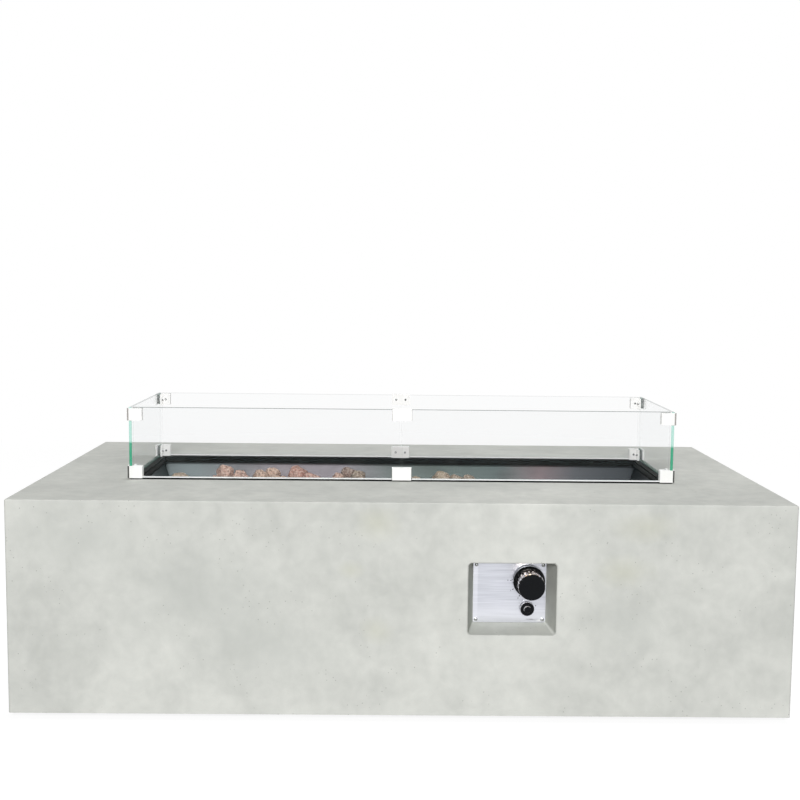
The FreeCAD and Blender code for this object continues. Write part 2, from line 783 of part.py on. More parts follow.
def burner_tube():
    """Straight burner tube with closed ends, two rows of flame ports and its feed riser."""
    start = Vec(-burner_length / 2, 0, burner_z)
    tube = cylinder(burner_radius, start, X_AXIS, burner_length)
    end_edges = [e for e in tube.Edges if e.Closed]
    tube = tube.makeFillet(burner_end_round, end_edges)
    riser_bottom = pan_floor - riser_below_floor
    riser = cylinder(riser_radius, Vec(0, 0, riser_bottom), Z_AXIS, burner_z - riser_bottom)
    washer = cylinder(riser_washer_radius, Vec(0, 0, pan_floor), Z_AXIS, riser_washer)
    burner = fuse(tube, riser, washer)
    bore = cylinder(burner_radius - burner_wall, start + X_AXIS * burner_wall, X_AXIS,
                    burner_length - 2 * burner_wall)
    riser_bore = cylinder(riser_radius - 2 * burner_wall, Vec(0, 0, riser_bottom - over), Z_AXIS,
                          burner_z - riser_bottom)
    cutters = [bore, riser_bore]
    span = burner_length - 2 * port_end_margin
    for index in range(port_count):
        x = -span / 2 + span * index / (port_count - 1)
        for side in (-1, 1):
            tilt = math.radians(port_angle_deg) * side
            way = Vec(0, math.sin(tilt), math.cos(tilt))
            cutters.append(cylinder(port_radius, Vec(x, 0, burner_z), way, burner_radius + over))
    return burner.cut(cutters)


def burner_brackets():
    """Two folded brackets: foot on the pan's floor, upright with the hole that holds the tube."""
    right = box(bracket_x, bracket_x + bracket_sheet, -bracket_width / 2, bracket_width / 2, pan_floor,
                burner_z + burner_radius + bracket_over_tube)
    top_edges = [e for e in right.Edges
                 if abs(e.tangentAt(e.FirstParameter).x) > 0.9 and e.BoundBox.ZMin > burner_z]
    right = right.makeFillet(bracket_width / 4, top_edges)
    foot = box(bracket_x, bracket_x + bracket_foot, -bracket_width / 2, bracket_width / 2, pan_floor,
               pan_floor + bracket_sheet)
    right = fuse(right, foot)
    cutters = [cylinder(burner_radius + press_gap, Vec(bracket_x - over, 0, burner_z), X_AXIS, bracket_foot)]
    for x, y in pan_screw_places()[2:4]:
        cutters.append(cylinder(pan_screw_radius + hole_gap, Vec(x, y, pan_floor - over), Z_AXIS,
                                bracket_sheet + 2 * over))
    right = right.cut(cutters)
    return [right, mirrored(right, X_AXIS)]


def pan_screws():
    """Screws down through the brackets' feet and the pan's floor."""
    screws = []
    for x, y in pan_screw_places():
        seat = pan_floor + bracket_sheet
        shank = cylinder(pan_screw_radius, Vec(x, y, seat - pan_screw_length), Z_AXIS, pan_screw_length)
        head = cylinder(pan_screw_head_radius, Vec(x, y, seat), Z_AXIS, screw_head_height)
        screws.append(fuse(shank, head))
    return screws


def burner_locknut():
    base = Vec(0, 0, pan_floor_under - locknut_height)
    nut = hexagon(locknut_flats, base, Z_AXIS, locknut_height)
    return nut.cut(cylinder(riser_radius + press_gap, base, Z_AXIS, locknut_height))


def air_mixer():
    """Sleeve on the riser with air slots all round, over the gas jet."""
    bottom = mixer_top - mixer_length
    sleeve = cylinder(mixer_radius, Vec(0, 0, bottom), Z_AXIS, mixer_length)
    socket_depth = mixer_top - (pan_floor - riser_below_floor)
    cutters = [cylinder(riser_radius + press_gap, Vec(0, 0, mixer_top - socket_depth - press_gap), Z_AXIS,
                        mixer_length),
               cylinder(mixer_bore_radius, Vec(0, 0, bottom - over), Z_AXIS, mixer_length)]
    slot_bottom = bottom + orifice_spigot + air_slot_lift
    for axis in (X_AXIS, Y_AXIS):
        wide = 3 * mixer_radius if axis == X_AXIS else air_slot_width
        deep = 3 * mixer_radius if axis == Y_AXIS else air_slot_width
        cutters.append(centred_box(wide, deep, slot_bottom, slot_bottom + air_slot_height))
    return sleeve.cut(cutters)


def orifice_fitting():
    """Gas jet: spigot in the mixer, hexagon, and the end the hose nut screws onto."""
    top = mixer_top - mixer_length
    spigot = cylinder(mixer_bore_radius - press_gap, Vec(0, 0, top), Z_AXIS, orifice_spigot)
    jet = cone(mixer_bore_radius - press_gap, jet_tip_radius, Vec(0, 0, top + orifice_spigot), Z_AXIS,
               jet_tip_length)
    bar = hexagon(orifice_flats, Vec(0, 0, top - orifice_hex), Z_AXIS, orifice_hex)
    bore = cylinder(port_radius, Vec(0, 0, top - orifice_hex - over), Z_AXIS, mixer_length)
    return fuse(spigot, jet, bar).cut(bore)


def hose_nuts():
    """The two union nuts at the ends of the inner gas hose."""
    at_valve = hexagon(hose_nut_flats, Vec(outlet_end_x, port_y, knob_z), -X_AXIS, hose_nut_length)
    at_valve = chamfered_nut(at_valve, Vec(outlet_end_x - hose_nut_length, port_y, knob_z), X_AXIS)
    at_burner = hexagon(hose_nut_flats, Vec(0, 0, jet_end_z), -Z_AXIS, hose_nut_length)
    at_burner = chamfered_nut(at_burner, Vec(0, 0, jet_end_z - hose_nut_length), Z_AXIS)
    return [at_valve, at_burner]


def chamfered_nut(nut, end, way):
    """Turns down the corners of a nut's hose end with a cone."""
    corner = hose_nut_flats / math.sqrt(3)
    turned = fuse(cone(corner - nut_chamfer, corner + over, end, way, nut_chamfer_length),
                  cylinder(corner + over, end + way * nut_chamfer_length, way, hose_nut_length))
    return nut.common(turned)


def gas_hose():
    """Inner hose from the valve's outlet down and round to the gas jet under the burner."""
    start = Vec(outlet_end_x - hose_nut_length, port_y, knob_z)
    end = Vec(0, 0, jet_end_z - hose_nut_length)
    points = [start, start + Vec(-41, 0, 0), Vec(124, -314, 254), Vec(84, -290, 234), Vec(52, -250, 214),
              Vec(28, -204, 197), Vec(11, -155, 183), Vec(3, -105, 172), Vec(0, -60, 172), Vec(0, -22, 190),
              end - Vec(0, 0, 40), end]
    return tube_along("gas_hose", points, hose_radius)


def spark_lead():
    """Insulated lead from the igniter's tab to the electrode's lower end."""
    start = Vec(igniter_x + barrel_radius / 2, plate_front_y + barrel_length + terminal_length, igniter_z)
    end = Vec(electrode_x, sensor_y, electrode_low - soft_gap)
    points = [start, start + Vec(0, 30, 0), Vec(238, -216, 215), Vec(206, -172, 224), Vec(170, -130, 238),
              Vec(134, -92, 254), Vec(102, -60, 274), Vec(76, -38, 294), end - Vec(0, 0, 20), end]
    return tube_along("spark_lead", points, lead_radius)


def sensor_lead():
    """Copper capillary from the flame sensor to the magnet unit on the valve."""
    start = Vec(knob_x, port_y, knob_z + valve_height / 2 + sensor_nut_height)
    end = Vec(probe_x, sensor_y, probe_low)
    points = [start, start + Vec(0, 0, 22), start + Vec(-8, 24, 38), Vec(220, -258, 342), Vec(192, -214, 334),
              Vec(164, -164, 322), Vec(140, -116, 312), Vec(120, -74, 304), Vec(101, -44, 302),
              end - Vec(0, 0, 22), end]
    return tube_along("sensor_lead", points, lead_radius)


def sensor_bracket():
    """Folded bracket on the pan's floor that holds the electrode and the flame sensor."""
    plate = box(sensor_x - sensor_plate_width / 2, sensor_x + sensor_plate_width / 2,
                sensor_y - bracket_sheet - probe_collar_radius, sensor_y + sensor_plate_foot, pan_floor,
                pan_floor + bracket_sheet)
    shelf = plate.translated(Vec(0, 0, sensor_plate_height - sensor_plate_foot))
    shelf = shelf.cut(box(-over + sensor_x - sensor_plate_width, sensor_x + sensor_plate_width,
                          sensor_y + probe_collar_radius + over, sensor_y + 3 * sensor_plate_foot, pan_floor,
                          pan_floor + sensor_plate_height))
    upright = box(sensor_x - sensor_plate_width / 2, sensor_x + sensor_plate_width / 2,
                  sensor_y - bracket_sheet - probe_collar_radius, sensor_y - probe_collar_radius, pan_floor,
                  pan_floor + sensor_plate_height - sensor_plate_foot + bracket_sheet)
    screw_x, screw_y = pan_screw_places()[4]
    cutters = [cylinder(pan_screw_radius + hole_gap, Vec(screw_x, screw_y, pan_floor - over), Z_AXIS,
                        bracket_sheet + 2 * over)]
    for x, radius in ((electrode_x, ceramic_radius), (probe_x, probe_radius)):
        cutters.append(cylinder(radius + press_gap, Vec(x, sensor_y, pan_floor - over), Z_AXIS,
                                sensor_plate_height))
    return fuse(plate, shelf, upright).cut(cutters)


def spark_electrode():
    """Ceramic rod with a collar on the bracket's shelf and a bent steel tip over the burner."""
    shelf_top = pan_floor + sensor_plate_height - sensor_plate_foot + bracket_sheet
    rod = cylinder(ceramic_radius, Vec(electrode_x, sensor_y, electrode_low), Z_AXIS,
                   shelf_top + ceramic_collar + over - electrode_low)
    collar = cylinder(ceramic_collar_radius, Vec(electrode_x, sensor_y, shelf_top), Z_AXIS, ceramic_collar)
    bend = Vec(electrode_x, sensor_y, pan_floor + sensor_plate_height + over)
    pin = tube_along("electrode_pin", [Vec(electrode_x, sensor_y, shelf_top + over), bend,
                                       bend + Y_AXIS * electrode_reach], electrode_radius)
    return fuse(rod, collar, pin)


def flame_sensor():
    """Thermocouple probe: hexagon on the shelf, rod above it, lower end for its lead."""
    shelf_top = pan_floor + sensor_plate_height - sensor_plate_foot + bracket_sheet
    rod = cylinder(probe_radius, Vec(probe_x, sensor_y, probe_low), Z_AXIS, pan_floor + probe_top - probe_low)
    tip_edge = [e for e in rod.Edges if e.BoundBox.ZMin > pan_floor + probe_top - 0.01]
    rod = rod.makeFillet(probe_tip_round, tip_edge)
    return fuse(rod, hexagon(probe_nut_flats, Vec(probe_x, sensor_y, shelf_top), Z_AXIS, ceramic_collar))


def hose_grommet():
    """Rubber grommet in the back wall, where the supply hose passes out."""
    hole_radius = grommet_bore_radius + grommet_wall - press_gap
    inside = back_y - shell_wall
    sleeve = cylinder(hole_radius, Vec(grommet_x, inside - grommet_flange, grommet_z), Y_AXIS,
                      shell_wall + 2 * grommet_flange)
    flanges = []
    for y in (inside - grommet_flange, back_y):
        flanges.append(cylinder(grommet_flange_radius, Vec(grommet_x, y, grommet_z), Y_AXIS, grommet_flange))
    bore = cylinder(grommet_bore_radius, Vec(grommet_x, inside - 2 * grommet_flange, grommet_z), Y_AXIS,
                    shell_wall + 4 * grommet_flange)
    return fuse(sleeve, *flanges).cut(bore)


def glass_sheet(x0, x1, y0, y1):
    """One clear panel with its edges ground to a small arris."""
    sheet = box(x0, x1, y0, y1, glass_bottom, glass_bottom + glass_height)
    return sheet.makeChamfer(glass_arris, sheet.Edges)


def glass_panels():
    half_l = guard_length / 2
    half_w = guard_width / 2
    side_gap = clip_fin + 2 * clip_fin_gap
    inner_end = half_l - glass_thickness - side_gap
    panels = {}
    for side, sign in (("front", -1), ("back", 1)):
        y0, y1 = sorted((sign * half_w, sign * (half_w - glass_thickness)))
        panels["glass_%s_left" % side] = glass_sheet(-inner_end, -side_gap / 2, y0, y1)
        panels["glass_%s_right" % side] = glass_sheet(side_gap / 2, inner_end, y0, y1)
    panels["glass_end_left"] = glass_sheet(-half_l, -half_l + glass_thickness, -half_w, half_w)
    panels["glass_end_right"] = glass_sheet(half_l - glass_thickness, half_l, -half_w, half_w)
    return panels


def clip_section(points, z):
    return Part.Face(Part.makePolygon([Vec(x, y, z) for x, y in points + points[:1]]))


def corner_clip(z):
    """Front left clip: outer and inner angles joined by a fin between the two panels."""
    left = -guard_length / 2
    front = -guard_width / 2
    outer = outer_pad + clip_outer_wall
    arm = clip_arm - outer
    fin_0 = glass_thickness + clip_fin_gap
    fin_1 = fin_0 + clip_fin
    inner_0 = glass_thickness + inner_pad
    inner_1 = inner_0 + clip_inner_wall
    outline = [(-outer, -outer), (arm, -outer), (arm, -outer_pad), (fin_1, -outer_pad), (fin_1, inner_0),
               (arm, inner_0), (arm, inner_1), (inner_1, inner_1), (inner_1, arm), (inner_0, arm),
               (inner_0, inner_0), (fin_0, inner_0), (fin_0, -outer_pad), (-outer_pad, -outer_pad),
               (-outer_pad, arm), (-outer, arm)]
    clip = clip_section([(left + x, front + y) for x, y in outline], z).extrude(Vec(0, 0, clip_height))
    corner = upright_edge(clip, left - outer, front - outer)
    clip = clip.makeFillet(clip_corner_round, [corner])
    holes = []
    for place, way in corner_screw_places(z):
        holes.append(cylinder(set_screw_radius + press_gap, place, way, clip_inner_wall))
    return clip.cut(holes)


def upright_edge(shape, x, y):
    near = Vec(x, y, shape.BoundBox.Center.z)
    return min(shape.Edges, key=lambda e: (e.BoundBox.Center - near).Length)


def corner_screw_places(z):
    """Where the two grub screws of the front left clip meet their pads, and which way they point."""
    left = -guard_length / 2
    front = -guard_width / 2
    along = clip_arm - outer_pad - clip_outer_wall - set_screw_from_end
    depth = glass_thickness + inner_pad
    middle = z + clip_height / 2
    return [(Vec(left + along, front + depth, middle), Y_AXIS),
            (Vec(left + depth, front + along, middle), X_AXIS)]


def mid_clip(z):
    """Front straight clip: two plates joined by a fin between the left and right panels."""
    front = -guard_width / 2
    half = mid_clip_width / 2
    fin = clip_fin / 2
    outer = outer_pad + clip_outer_wall
    inner_0 = glass_thickness + inner_pad
    inner_1 = inner_0 + clip_inner_wall
    outline = [(-half, -outer), (half, -outer), (half, -outer_pad), (fin, -outer_pad), (fin, inner_0),
               (half, inner_0), (half, inner_1), (-half, inner_1), (-half, inner_0), (-fin, inner_0),
               (-fin, -outer_pad), (-half, -outer_pad)]
    clip = clip_section([(x, front + y) for x, y in outline], z).extrude(Vec(0, 0, clip_height))
    rounded = [upright_edge(clip, side * half, front - outer) for side in (-1, 1)]
    clip = clip.makeFillet(clip_edge_round, rounded)
    holes = []
    for place, way in mid_screw_places(z):
        holes.append(cylinder(set_screw_radius + press_gap, place, way, clip_inner_wall))
    return clip.cut(holes)


def mid_screw_places(z):
    y = -guard_width / 2 + glass_thickness + inner_pad
    across = mid_clip_width / 2 - set_screw_from_end
    middle = z + clip_height / 2
    return [(Vec(-across, y, middle), Y_AXIS), (Vec(across, y, middle), Y_AXIS)]


def set_screw(place, way):
    length = clip_inner_wall + set_screw_proud
    return cylinder(set_screw_radius, place, way, length)


def screw_pad(place, way):
    """Round pad between a grub screw's tip and the glass."""
    return cylinder(inner_pad_radius, place - way * inner_pad, way, inner_pad)


def outer_strip(x0, x1, y0, y1, z):
    return box(x0, x1, y0, y1, z + pad_inset, z + clip_height - pad_inset)


def corner_strips(z):
    """Thin strips between the outer angle and the glass, front left corner."""
    left = -guard_length / 2
    front = -guard_width / 2
    far = clip_arm - outer_pad - clip_outer_wall - pad_inset
    past_fin = glass_thickness + 2 * clip_fin_gap + clip_fin
    return [outer_strip(left + past_fin, left + far, front - outer_pad, front, z),
            outer_strip(left - outer_pad, left, front + pad_inset, front + far, z)]


def mid_strips(z):
    front = -guard_width / 2
    far = mid_clip_width / 2 - pad_inset
    near = clip_fin / 2 + clip_fin_gap
    strips = []
    for side in (-1, 1):
        x0, x1 = sorted((side * near, side * far))
        strips.append(outer_strip(x0, x1, front - outer_pad, front, z))
    return strips


def at_four_corners(shapes):
    placed = []
    for shape in shapes:
        across = mirrored(shape, X_AXIS)
        placed += [shape, across, mirrored(shape, Y_AXIS), mirrored(across, Y_AXIS)]
    return placed


def front_and_back(shapes):
    return list(shapes) + [mirrored(shape, Y_AXIS) for shape in shapes]


def clip_fixings():
    """All grub screws, and all pads, of the eight corner and four straight clips."""
    screws = []
    pads = []
    for z in (clip_low_z, clip_high_z):
        screws += at_four_corners([set_screw(*place) for place in corner_screw_places(z)])
        pads += at_four_corners([screw_pad(*place) for place in corner_screw_places(z)] + corner_strips(z))
    for z in (clip_low_z, mid_clip_high_z):
        screws += front_and_back([set_screw(*place) for place in mid_screw_places(z)])
        pads += front_and_back([screw_pad(*place) for place in mid_screw_places(z)] + mid_strips(z))
    return screws, pads


def convex_lump(planes):
    """The solid inside a set of planes, each an outward normal and a point on the plane."""
    planes = without_repeats(planes)
    corners = [[] for plane in planes]
    count = len(planes)
    for a in range(count):
        for b in range(a + 1, count):
            line = planes[a][0].cross(planes[b][0])
            for c in range(b + 1, count):
                volume = line.dot(planes[c][0])
                if abs(volume) < 1e-6:
                    continue
                offsets = [planes[i][0].dot(planes[i][1]) for i in (a, b, c)]
                point = (planes[b][0].cross(planes[c][0]) * offsets[0]
                         + planes[c][0].cross(planes[a][0]) * offsets[1] + line * offsets[2]) * (1 / volume)
                if all(normal.dot(point - spot) < 1e-6 for normal, spot in planes):
                    for i in (a, b, c):
                        corners[i].append(point)
    faces = []
    for (normal, spot), points in zip(planes, corners):
        if len(points) < 3:
            continue
        middle = sum(points, Vec()) * (1 / len(points))
        side = (points[0] - middle).normalize()
        other = normal.cross(side)
        points.sort(key=lambda p: math.atan2((p - middle).dot(other), (p - middle).dot(side)))
        faces.append(Part.Face(Part.makePolygon(points + points[:1])))
    return Part.makeSolid(Part.makeShell(faces))


def without_repeats(planes):
    kept = []
    for normal, spot in planes:
        if all((normal - other).Length > 1e-6 or abs(normal.dot(spot - at)) > 1e-6 for other, at in kept):
            kept.append((normal, spot))
    return kept


def rock_middles(chance):
    """Middles and sizes of the lumps: the bed, the heap, and what covers the burner between them."""
    def shaken(x, y, lift):
        return Vec(x, y, pan_floor + lift) + Vec(chance.uniform(-1, 1), chance.uniform(-1, 1), 0) * rock_jitter

    columns = int((pan_outer_length - 2 * pan_inset) / bed_pitch)
    rows = int((pan_outer_width - 2 * pan_inset) / bed_pitch) + 1
    middles = []
    for column in range(columns):
        for row in range(rows):
            x = (column - (columns - 1) / 2) * bed_pitch
            y = (row - (rows - 1) / 2) * bed_pitch
            middles.append((shaken(x, y, bed_lift), bed_rock_radius))
    heap = [(Vec(x, y, pan_floor + lift), radius) for x, y, lift, radius in heap_rocks]
    for step in range(int(burner_length / cover_pitch) + 1):
        middle = shaken((step + 0.5) * cover_pitch - burner_length / 2, 0, cover_lift)
        if all((middle - other).Length > radius for other, radius in heap):
            middles.append((middle, cover_rock_radius))
    return middles + heap


def lava_rocks():
    """Broken lumps packed side by side: each is cut back to the plane midway to its neighbours."""
    chance = random.Random(rock_seed)
    middles = rock_middles(chance)
    lean = math.radians(pan_taper_deg)
    half_floor_l = pan_outer_length / 2 - pan_sheet - pan_inset
    half_floor_w = pan_outer_width / 2 - pan_sheet - pan_inset
    lumps = []
    for middle, radius in middles:
        planes = [(Vec(0, 0, -1), Vec(0, 0, pan_floor + rock_gap))]
        for normal, half in ((X_AXIS, half_floor_l), (Y_AXIS, half_floor_w)):
            for side in (-1, 1):
                out = normal * (side * math.cos(lean)) - Z_AXIS * math.sin(lean)
                foot = normal * (side * half) + Z_AXIS * pan_floor
                planes.append((out, foot - out * (rock_gap + pan_sheet)))
        for step in range(rock_side_count):
            up = 1 - 2 * (step + 0.5) / rock_side_count
            round_angle = step * golden_angle + chance.uniform(-facet_spread, facet_spread)
            flat = math.sqrt(1 - up * up)
            out = Vec(flat * math.cos(round_angle), flat * math.sin(round_angle), up)
            planes.append((out, middle + out * (radius * chance.uniform(facet_nearest, 1.0))))
        for other, other_radius in middles:
            away = other - middle
            if 0 < away.Length < rock_reach * (radius + other_radius):
                out = Vec(away).normalize()
                share = 0.5 + (radius - other_radius) / (2 * away.Length)
                planes.append((out, middle + away * share - out * (rock_gap / 2)))
        planes += planes_past_hardware(middle, radius)
        lumps.append(convex_lump(planes))
    return lumps


def planes_past_hardware(middle, radius):
    """Keeps a lump clear of the burner, its brackets and the sensor bracket."""
    tube = burner_radius + rock_gap
    blocks = [(-burner_length / 2 - rock_gap, burner_length / 2 + rock_gap, -tube, tube, burner_z + tube)]
    washer = riser_washer_radius + rock_gap
    blocks.append((-washer, washer, -washer, washer, burner_z + tube))
    half_bracket = bracket_width / 2 + rock_gap
    bracket_top = burner_z + burner_radius + bracket_over_tube + rock_gap
    for side in (-1, 1):
        x0, x1 = sorted((side * (bracket_x - rock_gap), side * (bracket_x + bracket_foot + rock_gap)))
        blocks.append((x0, x1, -half_bracket, half_bracket, bracket_top))
    blocks.append((sensor_x - sensor_plate_width / 2 - rock_gap, sensor_x + sensor_plate_width / 2 + rock_gap,
                   sensor_y - probe_collar_radius - bracket_sheet - rock_gap, 0.0,
                   pan_floor + sensor_plate_height + over + electrode_radius + rock_gap))
    planes = []
    for x0, x1, y0, y1, top in blocks:
        reach = radius * rock_reach
        if middle.x < x0 - reach or middle.x > x1 + reach or middle.y < y0 - reach or middle.y > y1 + reach:
            continue
        gaps = [(x0 - middle.x, X_AXIS, Vec(x0, 0, 0)), (middle.x - x1, -X_AXIS, Vec(x1, 0, 0)),
                (y0 - middle.y, Y_AXIS, Vec(0, y0, 0)), (middle.y - y1, -Y_AXIS, Vec(0, y1, 0)),
                (middle.z - top, -Z_AXIS, Vec(0, 0, top))]
        widest, out, spot = max(gaps, key=lambda gap: gap[0])
        planes.append((out, spot))
    return planes


# Places shared by several pieces
port_y = plate_back_y + valve_depth - port_from_back
knob_back_y = plate_front_y - knob_plate_gap
knob_face_y = knob_back_y - knob_length
outlet_end_x = knob_x - valve_width / 2 - outlet_hex
mixer_top = pan_floor_under - locknut_height
jet_end_z = mixer_top - mixer_length - orifice_hex
electrode_x = sensor_x - sensor_pitch / 2
probe_x = sensor_x + sensor_pitch / 2
electrode_low = pan_floor_under - ceramic_bottom
probe_low = pan_floor_under - probe_bottom
glass_bottom = rim_top + glass_lift
clip_low_z = rim_top
clip_high_z = glass_bottom + glass_height - clip_height - corner_clip_drop
mid_clip_high_z = glass_bottom + glass_height - clip_height + mid_clip_proud


def save(node, shapes):
    """Writes one node; a group of like pieces is one file of separate solids."""
    if isinstance(shapes, list):
        shapes = Part.makeCompound([solid for shape in shapes for solid in shape.Solids])
    valid = shapes.isValid() and all(solid.isValid() for solid in shapes.Solids)
    box_now = shapes.BoundBox
    print("%-20s solids %3d valid %s faces %4d volume %10.0f  x %.1f %.1f y %.1f %.1f z %.1f %.1f" % (
        node, len(shapes.Solids), valid, len(shapes.Faces), shapes.Volume, box_now.XMin, box_now.XMax,
        box_now.YMin, box_now.YMax, box_now.ZMin, box_now.ZMax))
    shapes.exportStep("parts/%s.step" % node)


save("concrete_body", cast_body())
save("foot_inserts", foot_inserts())
for corner, (foot_x, foot_y) in foot_places.items():
    save("foot_stud_" + corner, foot_stud(foot_x, foot_y))
    save("foot_pad_" + corner, foot_pad(foot_x, foot_y))
save("control_plate", control_plate())
save("plate_screws", plate_screws())
save("plate_anchors", plate_anchors())
save("gas_valve", gas_valve())
save("inlet_fitting", inlet_fitting())
save("valve_nut", valve_nut())
save("stem_washer", stem_washer())
save("valve_stem", valve_stem())
save("control_knob", control_knob())
save("knob_skirt", knob_skirt())
save("knob_cap", knob_cap())
save("igniter_barrel", igniter_barrel())
save("igniter_nut", igniter_nut())
save("igniter_cap", igniter_cap())
save("igniter_button", igniter_button())
save("igniter_battery", igniter_battery())
save("rim_frame", rim_frame())
save("fire_pan", fire_pan())
save("burner_tube", burner_tube())
save("burner_brackets", burner_brackets())
save("pan_screws", pan_screws())
save("burner_locknut", burner_locknut())
save("air_mixer", air_mixer())
save("orifice_fitting", orifice_fitting())
save("hose_nuts", hose_nuts())
save("gas_hose", gas_hose())
save("spark_lead", spark_lead())
save("sensor_lead", sensor_lead())
save("sensor_bracket", sensor_bracket())
save("spark_electrode", spark_electrode())
save("flame_sensor", flame_sensor())
save("hose_grommet", hose_grommet())
for panel, sheet in glass_panels().items():
    save(panel, sheet)
save("corner_clips_low", at_four_corners([corner_clip(clip_low_z)]))
save("corner_clips_high", at_four_corners([corner_clip(clip_high_z)]))
save("mid_clips_low", front_and_back([mid_clip(clip_low_z)]))
save("mid_clips_high", front_and_back([mid_clip(mid_clip_high_z)]))
all_screws, all_pads = clip_fixings()
save("clip_screws", all_screws)
save("clip_pads", all_pads)
save("lava_rocks", lava_rocks())
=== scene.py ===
"""Gas fire pit table: finishes, lava rock, small fasteners, dial, studio and camera."""
import bpy
import bmesh
import json
import math
import random
from mathutils import Matrix, Vector, noise


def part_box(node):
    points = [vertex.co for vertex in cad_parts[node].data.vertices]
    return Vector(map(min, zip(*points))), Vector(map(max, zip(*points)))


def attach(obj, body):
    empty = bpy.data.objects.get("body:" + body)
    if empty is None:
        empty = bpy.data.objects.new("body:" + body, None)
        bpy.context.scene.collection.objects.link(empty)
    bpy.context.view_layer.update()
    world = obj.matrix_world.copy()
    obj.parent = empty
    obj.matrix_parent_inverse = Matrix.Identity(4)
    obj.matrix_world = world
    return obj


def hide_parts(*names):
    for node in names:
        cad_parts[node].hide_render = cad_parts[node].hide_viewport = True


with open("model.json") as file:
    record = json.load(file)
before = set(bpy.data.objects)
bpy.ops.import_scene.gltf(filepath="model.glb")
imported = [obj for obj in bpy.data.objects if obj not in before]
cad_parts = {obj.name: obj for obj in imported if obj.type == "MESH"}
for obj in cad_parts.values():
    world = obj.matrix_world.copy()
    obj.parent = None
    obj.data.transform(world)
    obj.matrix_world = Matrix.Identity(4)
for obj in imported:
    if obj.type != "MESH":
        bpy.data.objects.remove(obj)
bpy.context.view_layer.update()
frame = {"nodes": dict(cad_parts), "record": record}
nodes = frame["nodes"]

# The camera, as fitted to the photograph
camera_place = (-0.0288, -2.6359, 0.8546)
camera_down = 5.760
camera_turn = -0.551
camera_roll = 0.584
camera_lens = 53.16

# Light: powers in watts, places and sizes in metres
sky_strength = 0.08
key_power = 472.0
key_size = 2.6
key_place = (-0.1, -6.6, 2.75)
top_power = 57.0
top_size = 2.4
top_place = (0.3, 1.1, 3.6)
fill_size = 1.5
fill_lamps = (((5.2, 5.0, 0.9), 150.0), ((-5.4, 3.6, 0.9), 100.0))
lamp_aim = (0, 0, 0.4)
floor_reach = 40.0
floor_near = 0.86
floor_far = 1.0
floor_fade = (1.2, 4.0)

# Dark clouds of painted shade on the cast stone, mostly on its left, and olive stains of the stone, each as
# x, z, half width and half height
shade_clouds = ((-0.36, 0.24, 0.17, 0.10), (-0.24, 0.14, 0.16, 0.07), (-0.62, 0.36, 0.14, 0.07),
               (0.44, 0.20, 0.10, 0.06))
olive_stains = ((-0.05, 0.39, 0.04, 0.03), (-0.10, 0.30, 0.03, 0.02), (-0.05, 0.18, 0.035, 0.03),
                (0.47, 0.39, 0.06, 0.03), (0.43, 0.30, 0.06, 0.03))

# Half width and half height of the control recess's mouth, and its depth
recess_reach = (0.0885, 0.0735)
recess_depth = 0.056

# Where a finish changes from one part of a piece to the next, in metres; the flute radii bound painted
# shade, the igniter reach a painted highlight, the clip levels a painted reflection and the green levels a
# painted deeper green
flute_radii = (0.0251, 0.0260)
igniter_reach = 0.017
clip_levels = (0.48, 0.52)
green_levels = (0.508, 0.513)
end_panels_past = 0.5685
long_panels_past = (0.155, 0.16)

# Lava rock
rock_seed = 5
heap_detail = 4
bed_detail = 3
edge_softness = 20.0
stone_growth = 1.06
heap_breaks = (1, 0.86, 0.98)
bed_breaks = (3, 0.78, 0.98)
pebble_tries = 4000
pebble_size = (0.0055, 0.0115)
pebble_gap = 0.0004
pebble_breaks = (0, 1, 1)
pebble_corners = 14
lump_share = 0.76
burner_clear = 0.038
heap_share = 0.7
bed_lift = 0.0004
heap_shades = ((-0.45, 0.86), (-0.36, 0.42), (-0.245, 0.50), (-0.17, 0.24), (-0.13, 0.42), (-0.105, 0.02),
               (-0.03, 0.95), (0.10, 0.88), (0.125, 0.80), (0.25, 0.93))

# Roughness of a stone: how deep each kind cuts in metres, how fine it is, and how wide it opens
swell_depth, swell_scale = 0.0016, 62
crease_depth, crease_scale, crease_width = 0.0016, 105, 0.22
rough_depth, rough_scale = 0.0022, 230
pit_depth, pit_scale, pit_width = 0.0017, 175, 0.36
cave_depth, cave_scale, cave_width = 0.0028, 70, 0.42

# Screw heads
head_rings = (0.0, 0.12, 0.22, 0.32, 0.42, 0.5, 0.6, 0.72, 0.84, 0.94, 1.0)
plate_head_steps = 36
grub_head_steps = 24
cross_depth = 0.0013
cross_arm = 0.13
cross_reach = 0.56
socket_depth = 0.002

# Dial and marks on the control plate
mark_lift = 0.00012
tick_inner = 0.0338
tick_outer = 0.0372
tick_width = 0.0013
number_reach = 0.0412
number_height = 0.0048
tick_turns = range(180, 331, 30)
number_turns = (180, 210, 240)
spark_shift = (0.0035, 0.004)
spark_tips = 0.0018
spark_waist = 0.0006


def linear(red, green, blue):
    """A colour given as 0 to 255 on screen, in linear light."""
    levels = []
    for level in (red, green, blue):
        share = level / 255
        levels.append(share / 12.92 if share <= 0.04045 else ((share + 0.055) / 1.055) ** 2.4)
    return (*levels, 1.0)


def grey(level):
    """A grey given in linear light."""
    return (level, level, level, 1.0)


